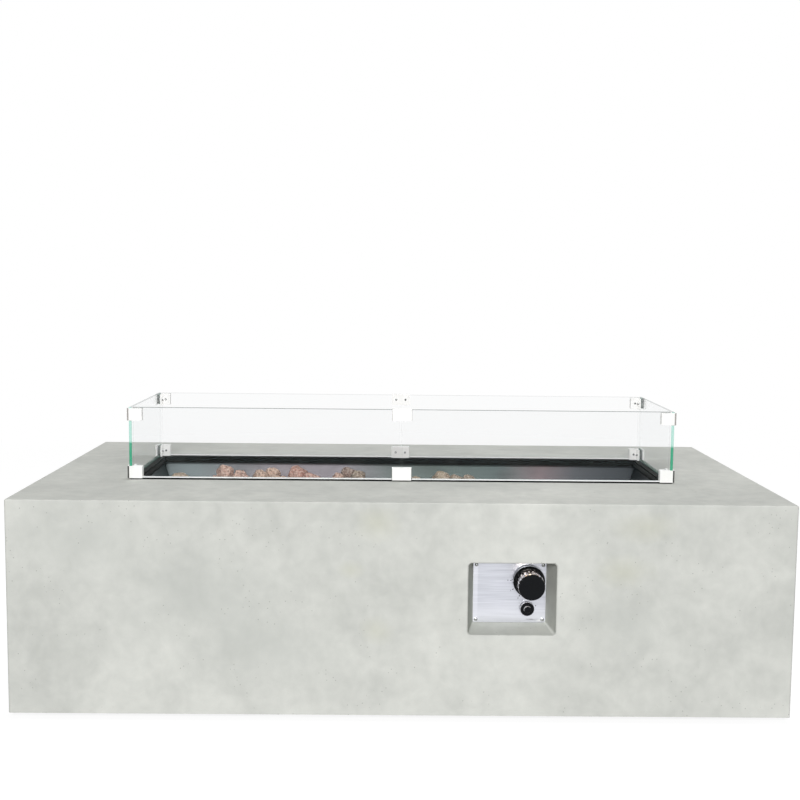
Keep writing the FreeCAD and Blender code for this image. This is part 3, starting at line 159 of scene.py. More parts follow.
class Wire:
    """A socket in shader arithmetic: each operator adds a Math node."""

    def __init__(self, finish, socket):
        self.finish = finish
        self.socket = socket

    def __add__(self, other):
        return self.finish.maths("ADD", self, other)

    def __radd__(self, other):
        return self.finish.maths("ADD", other, self)

    def __sub__(self, other):
        return self.finish.maths("SUBTRACT", self, other)

    def __rsub__(self, other):
        return self.finish.maths("SUBTRACT", other, self)

    def __mul__(self, other):
        return self.finish.maths("MULTIPLY", self, other)

    def __rmul__(self, other):
        return self.finish.maths("MULTIPLY", other, self)

    def __truediv__(self, other):
        return self.finish.maths("DIVIDE", self, other)

    def __pow__(self, other):
        return self.finish.maths("POWER", self, other)

    def __gt__(self, other):
        return self.finish.maths("GREATER_THAN", self, other)

    def __lt__(self, other):
        return self.finish.maths("LESS_THAN", self, other)

    def __abs__(self):
        return self.finish.maths("ABSOLUTE", self, 0.0)


class Finish:
    """One material, built round its Principled shader."""

    def __init__(self, name, steady=None):
        self.material = bpy.data.materials.new(name)
        self.material.use_nodes = True
        self.tree = self.material.node_tree
        self.shader = self.tree.nodes["Principled BSDF"]
        self.set(self.shader, steady or {})

    def set(self, made, values):
        for key, value in values.items():
            if isinstance(value, Wire):
                self.tree.links.new(value.socket, made.inputs[key])
            else:
                made.inputs[key].default_value = value

    def node(self, kind, settings=None, values=None, output=0):
        """Adds a node with its settings and socket values, and gives one of its outputs."""
        made = self.tree.nodes.new("ShaderNode" + kind)
        for key, value in (settings or {}).items():
            if key == "stops":
                set_stops(made.color_ramp, value)
            else:
                setattr(made, key, value)
        self.set(made, values or {})
        return Wire(self, made.outputs[output])

    def maths(self, operation, first, second):
        return self.node("Math", {"operation": operation}, {0: first, 1: second})

    def blend(self, share, first, second):
        """A colour from first to second as share goes from 0 to 1."""
        return self.node("Mix", {"data_type": "RGBA"}, {0: share, 6: first, 7: second}, output=2)

    def spread(self, value, low, high):
        """Stretches low..high to 0..1 and cuts off the rest."""
        return self.node("MapRange", values={"Value": value, "From Min": low, "From Max": high})

    def place(self, stretch=(1, 1, 1), shift=(0, 0, 0)):
        """Where a point lies on the piece, in metres, drawn out along an axis if asked."""
        spot = self.node("TexCoord", output=3)
        return self.node("Mapping", values={"Vector": spot, "Scale": stretch, "Location": shift})

    def along(self, axis, spot=None):
        """One coordinate of a point: 0, 1 or 2 for X, Y or Z."""
        spot = spot or self.node("TexCoord", output=3)
        return self.node("SeparateXYZ", values={0: spot}, output=axis)

    def grain(self, scale, detail=2.0, distortion=0.0, stretch=(1, 1, 1), shift=(0, 0, 0)):
        """Noise between 0 and 1 that stays with the piece."""
        return self.node("TexNoise", values={"Vector": self.place(stretch, shift), "Scale": scale,
                                             "Detail": detail, "Distortion": distortion})

    def cells(self, scale):
        """Distance to the nearest of scattered points, in cells."""
        return self.node("TexVoronoi", values={"Vector": self.place(), "Scale": scale})

    def facing(self):
        """The surface's direction."""
        return self.node("TexCoord", output=1)

    def turned(self):
        """How far the surface faces along each axis, either way."""
        return self.node("VectorMath", {"operation": "ABSOLUTE"}, {0: self.facing()})

    def slant(self):
        """0 where the surface faces the eye, 1 where it is seen edge on."""
        return self.node("LayerWeight", values={"Blend": 0.5}, output=1)

    def patch(self, spot, ragged):
        """A soft ragged patch, 1 in its middle, given as (x, z, half width, half height)."""
        x, z, wide, high = spot
        across = (self.along(0) - x) / wide
        up = (self.along(2) - z) / high
        return 1 - self.spread((across * across + up * up) ** 0.5 + ragged * 1.6, 0.8, 2.0)

    def bump(self, height, depth, strength=1.0):
        return self.node("Bump", values={"Height": height, "Distance": depth, "Strength": strength})

    def dress(self, values):
        """Feeds the shader and gives the finished material."""
        self.set(self.shader, values)
        return self.material


def set_stops(ramp, stops):
    """Sets a ramp's stops, each a place and a colour, in order."""
    while len(ramp.elements) < len(stops):
        ramp.elements.new(0.5)
    for element, (at, colour) in zip(ramp.elements, stops):
        element.position = at
        element.color = colour


def cast_concrete():
    """Cast cement: pale grey-green, clouded, with fine grain, pinholes and faint olive stains.

    The control recess carries painted shade, deepest on its top and its left side.
    """
    finish = Finish("cast_concrete", {"Specular IOR Level": 0.3})
    ragged = finish.grain(9, 5.0, 0.5, shift=(0.2, 0.9, 0.1))
    clouds = finish.spread(finish.grain(2.2, 6.0, 0.35, shift=(0.6, 0.0, 0.35)), 0.34, 0.66)
    patches = finish.spread(finish.grain(11, 6.0, 0.6, shift=(3.1, 1.7, 0.4)), 0.32, 0.68)
    mottle = finish.spread(finish.grain(42, 4.0, 0.3, shift=(0.3, 6.0, 2.0)), 0.3, 0.7)
    sand = finish.grain(900, 2.0)
    holes = (finish.cells(95) < 0.1) * (finish.grain(14, 1.0, shift=(1, 5, 2)) > 0.56)
    tone = clouds * 0.42 + patches * 0.36 + mottle * 0.22
    base = finish.blend(tone, linear(186, 188, 183), linear(226, 227, 221))
    # Painted shade: dark clouds that stand in for light falling off towards the left of the front.
    for cloud in shade_clouds:
        base = finish.blend(finish.patch(cloud, ragged) * 0.5, base, linear(186, 189, 184))
    for stain in olive_stains:
        base = finish.blend(finish.patch(stain, ragged) * 0.4, base, linear(198, 198, 176))
    low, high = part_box("control_plate")
    across = abs(finish.along(0) - (low.x + high.x) / 2) < recess_reach[0]
    up = abs(finish.along(2) - (low.z + high.z) / 2) < recess_reach[1]
    mouth = low.y - recess_depth
    recess_shade = finish.spread(finish.along(1), mouth + 0.001, mouth + 0.004)
    recess_shade = recess_shade * across * up * (finish.along(1) < high.y + 0.01)
    facing = finish.facing()
    level = finish.along(2, facing) > 0.5
    leftward = finish.along(0, facing) < -0.3
    # Painted shade inside the control recess: darkest on its top and left walls, less on its floor and right
    # wall.
    recess_shade_colour = finish.blend(mottle * 0.6 + patches * 0.4, linear(148, 152, 142), linear(172, 176, 166))
    base = finish.blend(recess_shade * (0.78 - level * 0.41 - leftward * 0.36), base, recess_shade_colour)
    base = finish.blend(finish.spread(sand, 0.35, 0.75) * 0.22, base, linear(190, 192, 187))
    base = finish.blend(holes * 0.55, base, linear(140, 141, 136))
    surface = finish.grain(46, 5.0, 0.4) * 0.5 + sand * 0.3 + patches * 0.5 - holes * 1.2
    return finish.dress({"Base Color": base, "Roughness": 0.78 + patches * 0.12,
                         "Normal": finish.bump(surface, 0.0004, 0.5)})


def brushed_plate():
    """Cool bright stainless sheet, brushed along its length, drawn in a little round its screws, with a
    painted highlight towards its foot and painted reflections near its lower corners.
    """
    finish = Finish("brushed_plate", {"Metallic": 1.0})
    plate_low, plate_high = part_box("control_plate")
    low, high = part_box("plate_screws")
    middle = (low + high) / 2
    reach = (high - low) / 2
    strokes = finish.grain(420, 3.0, stretch=(0.03, 1, 1))
    wipes = finish.grain(28, 3.0, 1.2, shift=(2, 0, 1))
    ragged = finish.grain(90, 3.0, 0.5)
    across = abs(finish.along(0) - middle.x) - reach.x
    up = abs(finish.along(2) - middle.z) - reach.z
    pull = 1 - finish.spread((across * across + up * up) ** 0.5, 0.004, 0.014)
    foot = 1 - finish.spread(finish.along(2), plate_low.z + 0.004, plate_low.z + 0.05)
    margin = 1 - finish.spread(finish.along(0), plate_low.x + 0.0075, plate_low.x + 0.0105)
    base = finish.blend(strokes, linear(164, 166, 174), linear(212, 214, 221))
    base = finish.blend(finish.spread(wipes, 0.5, 0.75) * 0.35, base, linear(186, 186, 197))
    # Lighter towards the foot, a painted highlight, and in a band along the left edge.
    base = finish.blend(foot * 0.6 + margin * (1 - foot) * 0.3, base, linear(234, 235, 241))
    # Painted reflections near the lower corners: a dark streak and two white glares.
    dark, white = linear(96, 98, 106), linear(254, 254, 255)
    painted_streaks = ((plate_high.x - 0.027, 0.0062, 0.013, 0.0013, 0.75, dark),
               (plate_high.x - 0.010, 0.0040, 0.009, 0.0026, 1.0, white),
               (plate_low.x + 0.005, 0.0030, 0.005, 0.0022, 1.0, white))
    for x, lift, wide, tall, share, colour in painted_streaks:
        streak = finish.patch((x, plate_low.z + lift, wide, tall), ragged)
        base = finish.blend(streak * share, base, colour)
    return finish.dress({"Base Color": base, "Roughness": 0.22 + strokes * 0.12 + wipes * 0.06,
                         "Normal": finish.bump(strokes * 0.05 + pull * pull * 0.4, 0.0006)})


def bright_clip():
    """Satin-plated clip: near white face on, mirror-like at a slant, with a painted dark reflection along
    its upright bends, near black on the lower clips.
    """
    finish = Finish("bright_clip")
    drawn = finish.grain(90, 3.0, 0.4, stretch=(1, 1, 0.1))
    turned = finish.turned()
    # Painted reflection: the rounded upright bends darkened, grey on the upper clips and near black on the
    # lower ones.
    dark_bend_reflection = (finish.along(0, turned) > 0.12) * (finish.along(1, turned) > 0.12)
    low = 1 - finish.spread(finish.along(2), *clip_levels)
    base = finish.blend(drawn, linear(240, 240, 238), linear(253, 253, 252))
    base = finish.blend(dark_bend_reflection * 0.9, base, finish.blend(low, linear(156, 151, 147), linear(14, 13, 12)))
    return finish.dress({"Base Color": base, "Metallic": 0.22 + finish.slant() * 0.7,
                         "Roughness": 0.16 + drawn * 0.08, "Normal": finish.bump(drawn, 0.00001)})


def fluted_chrome():
    """Bright chrome of the knob's fluted grip, with painted shade in its flutes and on its off side, and
    painted warm glints.
    """
    finish = Finish("fluted_chrome", {"Metallic": 1.0})
    knob = sum(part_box("knob_cap"), Vector()) / 2
    across = finish.along(0) - knob.x
    up = finish.along(2) - knob.z
    # Painted shade in the flutes and on the off side, and painted warm glints in gold and rose.
    flute_shade = 1 - finish.spread((across * across + up * up) ** 0.5, *flute_radii)
    off_side_shade = 1 - finish.spread(across + finish.grain(140, 2.0) * 0.012, -0.014, 0.002)
    off_side_shade = off_side_shade + finish.spread(across, 0.008, 0.016)
    glints = finish.grain(170, 3.0, 0.5, shift=(0.7, 0.2, 0.1))
    base = finish.blend(finish.spread(glints, 0.42, 0.62), linear(236, 228, 220), linear(206, 168, 128))
    base = finish.blend(finish.spread(glints, 0.6, 0.7) * 0.7, base, linear(198, 150, 160))
    base = finish.blend(flute_shade * 0.6, base, linear(52, 50, 50))
    base = finish.blend(off_side_shade * 0.84, base, linear(34, 35, 37))
    return finish.dress({"Base Color": base, "Roughness": 0.1 + glints * 0.08,
                         "Normal": finish.bump(glints, 0.00001)})


def metal(name, dark, light, roughness, scale=160, stretch=(1, 1, 1), depth=0.00004):
    """A bare metal whose colour and polish wander a little with the marks of its making."""
    finish = Finish(name, {"Metallic": 1.0})
    marks = finish.grain(scale, 3.0, 0.4, stretch)
    cloud = finish.grain(scale / 12, 2.0, 0.6)
    base = finish.blend(marks * 0.6 + cloud * 0.4, dark, light)
    return finish.dress({"Base Color": base, "Roughness": roughness * 0.8 + marks * roughness * 0.5,
                         "Normal": finish.bump(marks, depth)})


def gloss_black():
    """Moulded black plastic: flat faces dull, rounded edges polished, with fine dust.

    The igniter's cap and button carry a painted highlight on their front edges that face up and left.
    """
    finish = Finish("gloss_black", {"Coat Roughness": 0.04, "Specular IOR Level": 0.08})
    rub = finish.grain(120, 4.0, 1.5)
    dust = finish.grain(2600, 1.0) > 0.74
    facing = finish.facing()
    round_edge = 1 - finish.spread(abs(finish.along(1, facing)), 0.86, 0.97)
    button = sum(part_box("igniter_cap"), Vector()) / 2
    across = abs(finish.along(0) - button.x) < igniter_reach
    up = abs(finish.along(2) - button.z) < igniter_reach
    front = abs(finish.along(1, facing)) > 0.15
    # Painted highlight: light colour and metal on the igniter's rounded edges that face up and left.
    painted_highlight = finish.spread(finish.along(2, facing) - finish.along(0, facing) * 0.6, 0.0, 0.6)
    painted_highlight = painted_highlight * across * up * front
    base = finish.blend(rub, linear(11, 13, 15), linear(18, 20, 23))
    base = finish.blend(dust * 0.12, base, linear(96, 98, 100))
    base = finish.blend(round_edge, base, finish.blend(painted_highlight, linear(16, 17, 19), linear(226, 226, 228)))
    return finish.dress({"Base Color": base, "Roughness": 0.06 + rub * 0.08,
                         "Coat Weight": 0.03 + round_edge * 0.5, "Metallic": round_edge * painted_highlight * 0.9,
                         "Normal": finish.bump(rub, 0.00003)})


def matt_black():
    """Dull black moulding for the igniter's barrel, its nut and the insulated lead."""
    finish = Finish("matt_black")
    grain = finish.grain(700, 3.0)
    base = finish.blend(grain, linear(24, 24, 25), linear(46, 46, 47))
    return finish.dress({"Base Color": base, "Roughness": 0.5 + grain * 0.2,
                         "Normal": finish.bump(grain, 0.0001)})


def black_rubber():
    """Moulded rubber with a fine bloom."""
    finish = Finish("black_rubber", {"Specular IOR Level": 0.3})
    grain = finish.grain(520, 4.0)
    bloom = finish.grain(34, 3.0, 0.7)
    base = finish.blend(grain * 0.5 + bloom * 0.5, linear(27, 27, 27), linear(54, 54, 53))
    return finish.dress({"Base Color": base, "Roughness": 0.66 + bloom * 0.2,
                         "Normal": finish.bump(grain, 0.00015)})


def hose_jacket():
    """Black hose with a fine braid that shows through its jacket."""
    finish = Finish("hose_jacket")
    weave = finish.node("TexWave", {"bands_direction": "DIAGONAL"},
                        {"Vector": finish.place(), "Scale": 260.0, "Distortion": 1.0, "Detail": 1.0})
    base = finish.blend(weave, linear(26, 26, 27), linear(58, 58, 59))
    return finish.dress({"Base Color": base, "Roughness": 0.45 + weave * 0.2,
                         "Normal": finish.bump(weave, 0.0003)})


def rim_black():
    """Heat-resistant black paint with a light orange peel and rubbed patches."""
    finish = Finish("rim_black", {"Specular IOR Level": 0.02})
    peel = finish.grain(480, 3.0)
    rub = finish.spread(finish.grain(18, 4.0, 0.8), 0.45, 0.8)
    base = finish.blend(rub, linear(22, 22, 21), linear(46, 46, 44))
    return finish.dress({"Base Color": base, "Roughness": 0.5 + rub * 0.16 + peel * 0.08,
                         "Normal": finish.bump(peel, 0.00012)})


def pan_steel():
    """Rolled stainless sheet of the fire pan, dulled grey, its tone changing from end to end, with painted
    reflections of the rocks in mauve and rose.
    """
    finish = Finish("pan_steel", {"Metallic": 0.85})
    rolled = finish.grain(300, 3.0, 0.2, stretch=(0.04, 1, 1))
    cloud = finish.grain(5.5, 3.0, 0.6)
    soot = finish.spread(finish.grain(9, 4.0, 1.0, shift=(4, 4, 4)), 0.5, 0.8)
    # Tones from end to end of the pan, with painted mauve and rose reflections of the rocks.
    along = finish.spread(finish.along(0) + cloud * 0.08 - 0.04, -0.52, 0.54)
    base = finish.node("ValToRGB", {"stops": [
        (0.03, linear(84, 91, 92)), (0.1, linear(82, 84, 86)), (0.22, linear(93, 88, 91)),
        (0.36, linear(90, 86, 90)), (0.46, linear(66, 71, 70)), (0.57, linear(58, 66, 63)),
        (0.70, linear(58, 66, 65)), (0.81, linear(86, 76, 78)), (0.89, linear(56, 58, 61)),
        (0.97, linear(42, 45, 48))]}, {0: along})
    base = finish.blend(cloud * 0.3, base, linear(56, 58, 60))
    base = finish.blend(soot * 0.2, base, linear(40, 40, 42))
    return finish.dress({"Base Color": base, "Roughness": 0.34 + rolled * 0.14 + soot * 0.15,
                         "Normal": finish.bump(rolled, 0.00004)})


def white_ceramic():
    """Glazed ceramic, slightly crazed and browned near the flame."""
    finish = Finish("white_ceramic", {"Coat Weight": 0.5})
    scorch = finish.spread(finish.grain(60, 3.0), 0.5, 0.8)
    base = finish.blend(scorch * 0.5, linear(228, 225, 216), linear(176, 158, 138))
    return finish.dress({"Base Color": base, "Roughness": 0.25 + scorch * 0.3,
                         "Normal": finish.bump(scorch, 0.00005)})


def clear_glass():
    """Clear toughened glass: faces that only mirror at a slant, and ground edges.

    The end panels' upright edges are green, painted deeper near the foot where the table shows through them.
    The level edges show as thin lines, strongest in front.
    """
    finish = Finish("clear_glass", {"IOR": 1.5})
    turned = finish.turned()
    within = finish.node("NewGeometry", output=6)
    end_panel = abs(finish.along(0)) > end_panels_past
    across = end_panel * finish.along(0, turned) + (1 - end_panel) * finish.along(1, turned)
    edge = across < 0.9
    level_edge = edge * (finish.along(2, turned) > 0.3)
    upright = edge - level_edge
    green_edge = upright * end_panel * (1 - within)
    pale_edge = upright - green_edge
    slant = finish.slant()
    smear = finish.spread(finish.grain(9, 3.0, 0.8), 0.5, 0.8)
    sheen = 0.019 + slant ** 5.0 * 0.22 + smear * 0.003
    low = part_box("glass_front_left")[0].z
    foot = (1 - edge) * (1 - finish.spread(finish.along(2), low + 0.0022, low + 0.0034))
    # Painted deeper green near the foot, standing in for the darker table seen through the edge.
    painted_deep_green = 1 - finish.spread(finish.along(2), *green_levels)
    green = finish.blend(painted_deep_green, linear(166, 214, 202), linear(20, 152, 114))
    base = finish.blend(slant ** 3.0, (0.2, 0.28, 0.3, 1), linear(236, 242, 244))
    base = finish.blend(foot, base, finish.blend(end_panel, linear(250, 251, 251), linear(150, 196, 180)))
    base = finish.blend(level_edge, base, linear(72, 88, 84))
    base = finish.blend(pale_edge, base, linear(206, 216, 214))
    base = finish.blend(green_edge, base, green)
    inner, outer = long_panels_past
    near = 1 - finish.spread(finish.along(1), -outer, -inner)
    far = finish.spread(finish.along(1), inner, outer)
    line = 0.4 + near * (1 - end_panel) * 0.4 - far * (1 - end_panel) * 0.28
    alpha = sheen * (1 - edge) + foot * 0.8 + green_edge * 0.9 + pale_edge * 0.12 + level_edge * line
    return finish.dress({"Base Color": base, "Metallic": (1 - edge) * (1 - foot) * 0.9,
                         "Roughness": 0.03 + edge * 0.25, "Alpha": alpha})


def clear_pad():
    """Soft plastic pads between glass and clip: plain milky white."""
    finish = Finish("clear_pad")
    milk = finish.grain(240, 2.0)
    base = finish.blend(milk, linear(236, 239, 238), linear(251, 252, 252))
    return finish.dress({"Base Color": base, "Roughness": 0.3 + milk * 0.15})


def lava_stone():
    """Porous lava: each lump has its own tone, from brown and rose to straw and ash, with painted shade in
    its pores, pinpricks and hollows.
    """
    finish = Finish("lava_stone", {"Specular IOR Level": 0.15})
    shade = finish.node("Attribute", {"attribute_name": "shade"}, output=2)
    hollow = finish.node("Attribute", {"attribute_name": "hollow"}, output=2)
    tone = finish.node("ValToRGB", {"stops": [
        (0.0, linear(110, 94, 90)), (0.2, linear(186, 128, 118)), (0.4, linear(214, 176, 162)),
        (0.6, linear(210, 184, 160)), (0.8, linear(208, 194, 162)), (1.0, linear(126, 120, 112))]},
        {0: shade})
    blotch = finish.spread(finish.grain(70, 4.0, 0.6), 0.35, 0.7)
    grains = finish.spread(finish.grain(300, 4.0, 0.3), 0.44, 0.6)
    pores = finish.spread(finish.cells(240), 0.14, 0.5)
    pinpricks = finish.spread(finish.cells(820), 0.1, 0.4)
    fine = finish.grain(700, 4.0)
    base = finish.blend(blotch * 0.3, tone, linear(160, 118, 106))
    base = finish.blend(grains * 0.5, base, linear(244, 228, 214))
    # Painted shade: darker in the pores, the pinpricks and the hollows.
    base = finish.blend((1 - grains) * (1 - pores) * 0.75, base, linear(84, 62, 56))
    base = finish.blend((1 - pinpricks) * 0.25, base, linear(96, 72, 64))
    base = finish.blend(hollow * 0.5, base, linear(84, 62, 56))
    base = finish.blend(finish.spread(fine, 0.52, 0.72) * 0.4, base, linear(244, 232, 218))
    return finish.dress({"Base Color": base, "Roughness": 0.9 - blotch * 0.06,
                         "Normal": finish.bump(pores + pinpricks * 0.5 + fine * 0.6, 0.0016)})


def mark_ink():
    """Dark baked ink of the dial, slightly worn."""
    finish = Finish("mark_ink")
    wear = finish.grain(900, 3.0)
    base = finish.blend(finish.spread(wear, 0.5, 0.8), linear(26, 28, 32), linear(66, 68, 74))
    return finish.dress({"Base Color": base, "Roughness": 0.45 + wear * 0.2})


def battery_wrap():
    """Plain dark wrap of the igniter's cell."""
    finish = Finish("battery_wrap", {"Metallic": 0.6})
    band = finish.grain(160, 2.0, stretch=(1, 0.1, 1))
    base = finish.blend(band, linear(62, 62, 66), linear(96, 96, 100))
    return finish.dress({"Base Color": base, "Roughness": 0.35 + band * 0.2})


finishes = {
    "concrete": cast_concrete(),
    "zinc_steel": metal("zinc_steel", linear(150, 152, 150), linear(196, 198, 192), 0.34),
    "bright_steel": metal("bright_steel", linear(150, 152, 154), linear(206, 208, 208), 0.24),
    "black_rubber": black_rubber(),
    "brushed_plate": brushed_plate(),
    "cast_alloy": metal("cast_alloy", linear(146, 148, 150), linear(186, 188, 190), 0.5, 380, depth=0.00012),
    "chrome": fluted_chrome(),
    "polished_steel": bright_clip(),
    "gloss_black": gloss_black(),
    "matt_black": matt_black(),
    "battery_can": battery_wrap(),
    "rim_black": rim_black(),
    "pan_steel": pan_steel(),
    "brass": metal("turned_brass", linear(158, 128, 74), linear(206, 178, 112), 0.26, 260),
    "white_ceramic": white_ceramic(),
    "copper": metal("drawn_copper", linear(150, 96, 70), linear(204, 142, 108), 0.3, 200),
    "clear_glass": clear_glass(),
    "clear_pad": clear_pad(),
    "lava_rock": lava_stone(),
}


def wear_finish(piece, material):
    piece.data.materials.clear()
    piece.data.materials.append(material)


for subpart in frame["record"]["subparts"]:
    wear_finish(nodes[subpart["node"]], finishes[subpart["material_slot"]])


def new_piece(name, shell, material, body, smooth=True):
    """Makes one visible piece from a bmesh, with its finish, body and material slot."""
    mesh = bpy.data.meshes.new(name)
    shell.to_mesh(mesh)
    shell.free()
    mesh.polygons.foreach_set("use_smooth", [smooth] * len(mesh.polygons))
    piece = bpy.data.objects.new(name, mesh)
    bpy.context.scene.collection.objects.link(piece)
    mesh.materials.append(material)
    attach(piece, body)
    return piece


def islands(mesh):
    """The separate closed shells of a mesh, each as a list of corner points, in a fixed order."""
    shell = bmesh.new()
    shell.from_mesh(mesh)
    bmesh.ops.remove_doubles(shell, verts=shell.verts, dist=1e-6)
    unseen = set(shell.verts)
    groups = []
    while unseen:
        group = []
        waiting = [unseen.pop()]
        while waiting:
            corner = waiting.pop()
            group.append(corner.co.copy())
            for edge in corner.link_edges:
                other = edge.other_vert(corner)
                if other in unseen:
                    unseen.discard(other)
                    waiting.append(other)
        groups.append(sorted(group, key=tuple))
    shell.free()
    groups.sort(key=lambda group: [round(min(point[axis] for point in group), 4) for axis in (2, 0, 1)])
    return groups


def hull_planes(points, middle):
    """Outward normals of a lump's flat sides and their distances from its middle."""
    hull = bmesh.new()
    for point in points:
        hull.verts.new(point)
    bmesh.ops.convex_hull(hull, input=hull.verts)
    planes = []
    for side in hull.faces:
        normal = side.normal.copy()
        reach = normal.dot(side.verts[0].co - middle)
        if reach < 0:
            normal, reach = -normal, -reach
        if all((normal - other).length > 0.02 for other, _ in planes):
            planes.append((normal, reach))
    hull.free()
    return planes


def any_way(chance):
    """A direction picked evenly from all round."""
    way = Vector((chance.gauss(0, 1), chance.gauss(0, 1), chance.gauss(0, 1)))
    return way.normalized()


rocks_low, rocks_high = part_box("lava_rocks")


def add_lump(shell, layers, points, detail, shade, chance, breaks):
    """One lava stone: flat sides and fresh breaks run into each other softly, then it is pitted.

    breaks gives how many more sides are broken off, and how near and far from the middle.
    """
    middle = sum(points, Vector()) / len(points)
    planes = hull_planes(points, middle)
    mean_reach = sum(reach for _, reach in planes) / len(planes)
    count, least, most = breaks
    for _ in range(count):
        planes.append((any_way(chance), mean_reach * chance.uniform(least, most)))
    offset = any_way(chance) * 50
    made = bmesh.ops.create_icosphere(shell, subdivisions=detail, radius=1.0)
    shade_layer, hollow_shade_layer = layers
    for vert in made["verts"]:
        way = vert.co.normalized()
        total = 0.0
        for normal, reach in planes:
            facing = normal.dot(way)
            if facing > 0.05:
                total += (facing / reach) ** edge_softness
        reach = total ** (-1 / edge_softness)
        spot = middle + way * reach
        swell = 0.5 + 0.5 * noise.noise(spot * swell_scale + offset)
        crease = max(0.0, 1 - abs(noise.noise(spot * crease_scale + offset)) / crease_width)
        rough = 0.5 + 0.5 * noise.noise(spot * rough_scale + offset)
        pit = max(0.0, 1 - noise.voronoi(spot * pit_scale + offset)[0][0] / pit_width)
        cave = max(0.0, 1 - noise.voronoi(spot * cave_scale + offset)[0][0] / cave_width)
        depth = (swell_depth * swell + crease_depth * crease + rough_depth * rough + pit_depth * pit
                 + cave_depth * cave * cave)
        vert.co = middle + way * (reach * stone_growth - depth)
        vert.co.z = min(max(vert.co.z, rocks_low.z + bed_lift), rocks_high.z)
        vert[shade_layer] = shade
        # How far a point lies in pits, caves and creases, for the painted shade in the hollows.
        vert[hollow_shade_layer] = min(1.0, 0.8 * pit + cave + 0.5 * crease)


def heap_shade(x):
    """The shade of one of the heap's stones, by where it lies from left to right."""
    for reach, shade in heap_shades:
        if x < reach:
            return shade
    return heap_shades[-1][1]


def pebbles(chance, lumps):
    """Small stones for the gaps between the lumps on the pan's floor, as middle and radius."""
    spots = []
    for points in lumps:
        middle = sum(points, Vector()) / len(points)
        spots.append((middle, lump_share * sum((point - middle).length for point in points) / len(points)))
    found = []
    for _ in range(pebble_tries):
        radius = chance.uniform(*pebble_size)
        middle = Vector((chance.uniform(rocks_low.x + radius, rocks_high.x - radius),
                         chance.uniform(rocks_low.y + radius, rocks_high.y - radius),
                         rocks_low.z + radius))
        if abs(middle.y) < burner_clear + radius:
            continue
        if all((middle - other).length > radius + reach + pebble_gap for other, reach in spots):
            spots.append((middle, radius))
            found.append((middle, radius))
    return found


def rough_points(chance, middle, radius):
    """Corner points of a small broken stone."""
    points = []
    for _ in range(pebble_corners):
        points.append(middle + any_way(chance) * radius)
    return points


def lava_rocks():
    """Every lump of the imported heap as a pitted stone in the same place, with pebbles between them."""
    chance = random.Random(rock_seed)
    lumps = islands(nodes["lava_rocks"].data)
    heap_line = rocks_low.z + heap_share * (rocks_high.z - rocks_low.z)
    shell = bmesh.new()
    layers = (shell.verts.layers.float.new("shade"), shell.verts.layers.float.new("hollow"))
    for points in lumps:
        top = max(point.z for point in points)
        shade = chance.random()
        if top > heap_line:
            shade = heap_shade(sum(point.x for point in points) / len(points)) + 0.08 * (shade - 0.5)
            add_lump(shell, layers, points, heap_detail, shade, chance, heap_breaks)
        else:
            add_lump(shell, layers, points, bed_detail, shade, chance, bed_breaks)
    for middle, radius in pebbles(chance, lumps):
        add_lump(shell, layers, rough_points(chance, middle, radius), bed_detail - 1, chance.random(),
                 chance, pebble_breaks)
    rocks = new_piece("lava_stones", shell, finishes["lava_rock"], "table")
    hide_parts("lava_rocks")


def head_shape(shell, centre, axis, radius, height, dip, steps):
    """A low domed screw head; dip gives how deep the driver's recess is at a point of its face."""
    side = axis.orthogonal().normalized()
    other = axis.cross(side)
    rows = []
    for share in head_rings:
        row = []
        for step in range(steps):
            angle = 2 * math.pi * step / steps
            across = share * radius * math.cos(angle)
            up = share * radius * math.sin(angle)
            dome = height * math.sqrt(max(0.0, 1 - 0.8 * share * share)) - dip(across / radius, up / radius)
            row.append(shell.verts.new(centre + side * across + other * up + axis * dome))
        rows.append(row)
    rows.append([shell.verts.new(centre + (vert.co - centre) - axis * (vert.co - centre).dot(axis))
                 for vert in rows[-1]])
    for inner, outer in zip(rows, rows[1:]):
        for step in range(steps):
            following = (step + 1) % steps
            shell.faces.new((inner[step], outer[step], outer[following], inner[following]))
    shell.faces.new(rows[-1])


def cross_recess(x, y):
    """Depth of a cross-shaped recess, deepest in the middle."""
    near = min(abs(x), abs(y))
    far = max(abs(x), abs(y))
    return cross_depth * (1 - far / cross_reach) if near < cross_arm and far < cross_reach else 0.0


def hex_recess(x, y):
    """Depth of a flat-bottomed hexagonal socket."""
    turns = (0, math.pi / 3, 2 * math.pi / 3)
    reach = max(abs(x * math.cos(turn) + y * math.sin(turn)) for turn in turns)
    return socket_depth if reach < 0.5 else 0.0


def plate_screw_heads():
    """Cross-recessed heads on the control plate's four screws."""
    shell = bmesh.new()
    plate_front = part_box("control_plate")[0].y
    for points in islands(nodes["plate_screws"].data):
        middle = sum(points, Vector()) / len(points)
        head_front = min(point.y for point in points)
        radius = max((Vector((p.x, 0, p.z)) - Vector((middle.x, 0, middle.z))).length for p in points)
        centre = Vector((middle.x, plate_front, middle.z))
        head_shape(shell, centre, Vector((0, -1, 0)), radius, plate_front - head_front, cross_recess,
                   plate_head_steps)
    bmesh.ops.remove_doubles(shell, verts=shell.verts, dist=1e-7)
    heads = new_piece("plate_screw_heads", shell, finishes["bright_steel"], "table",
                      smooth=False)
    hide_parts("plate_screws")


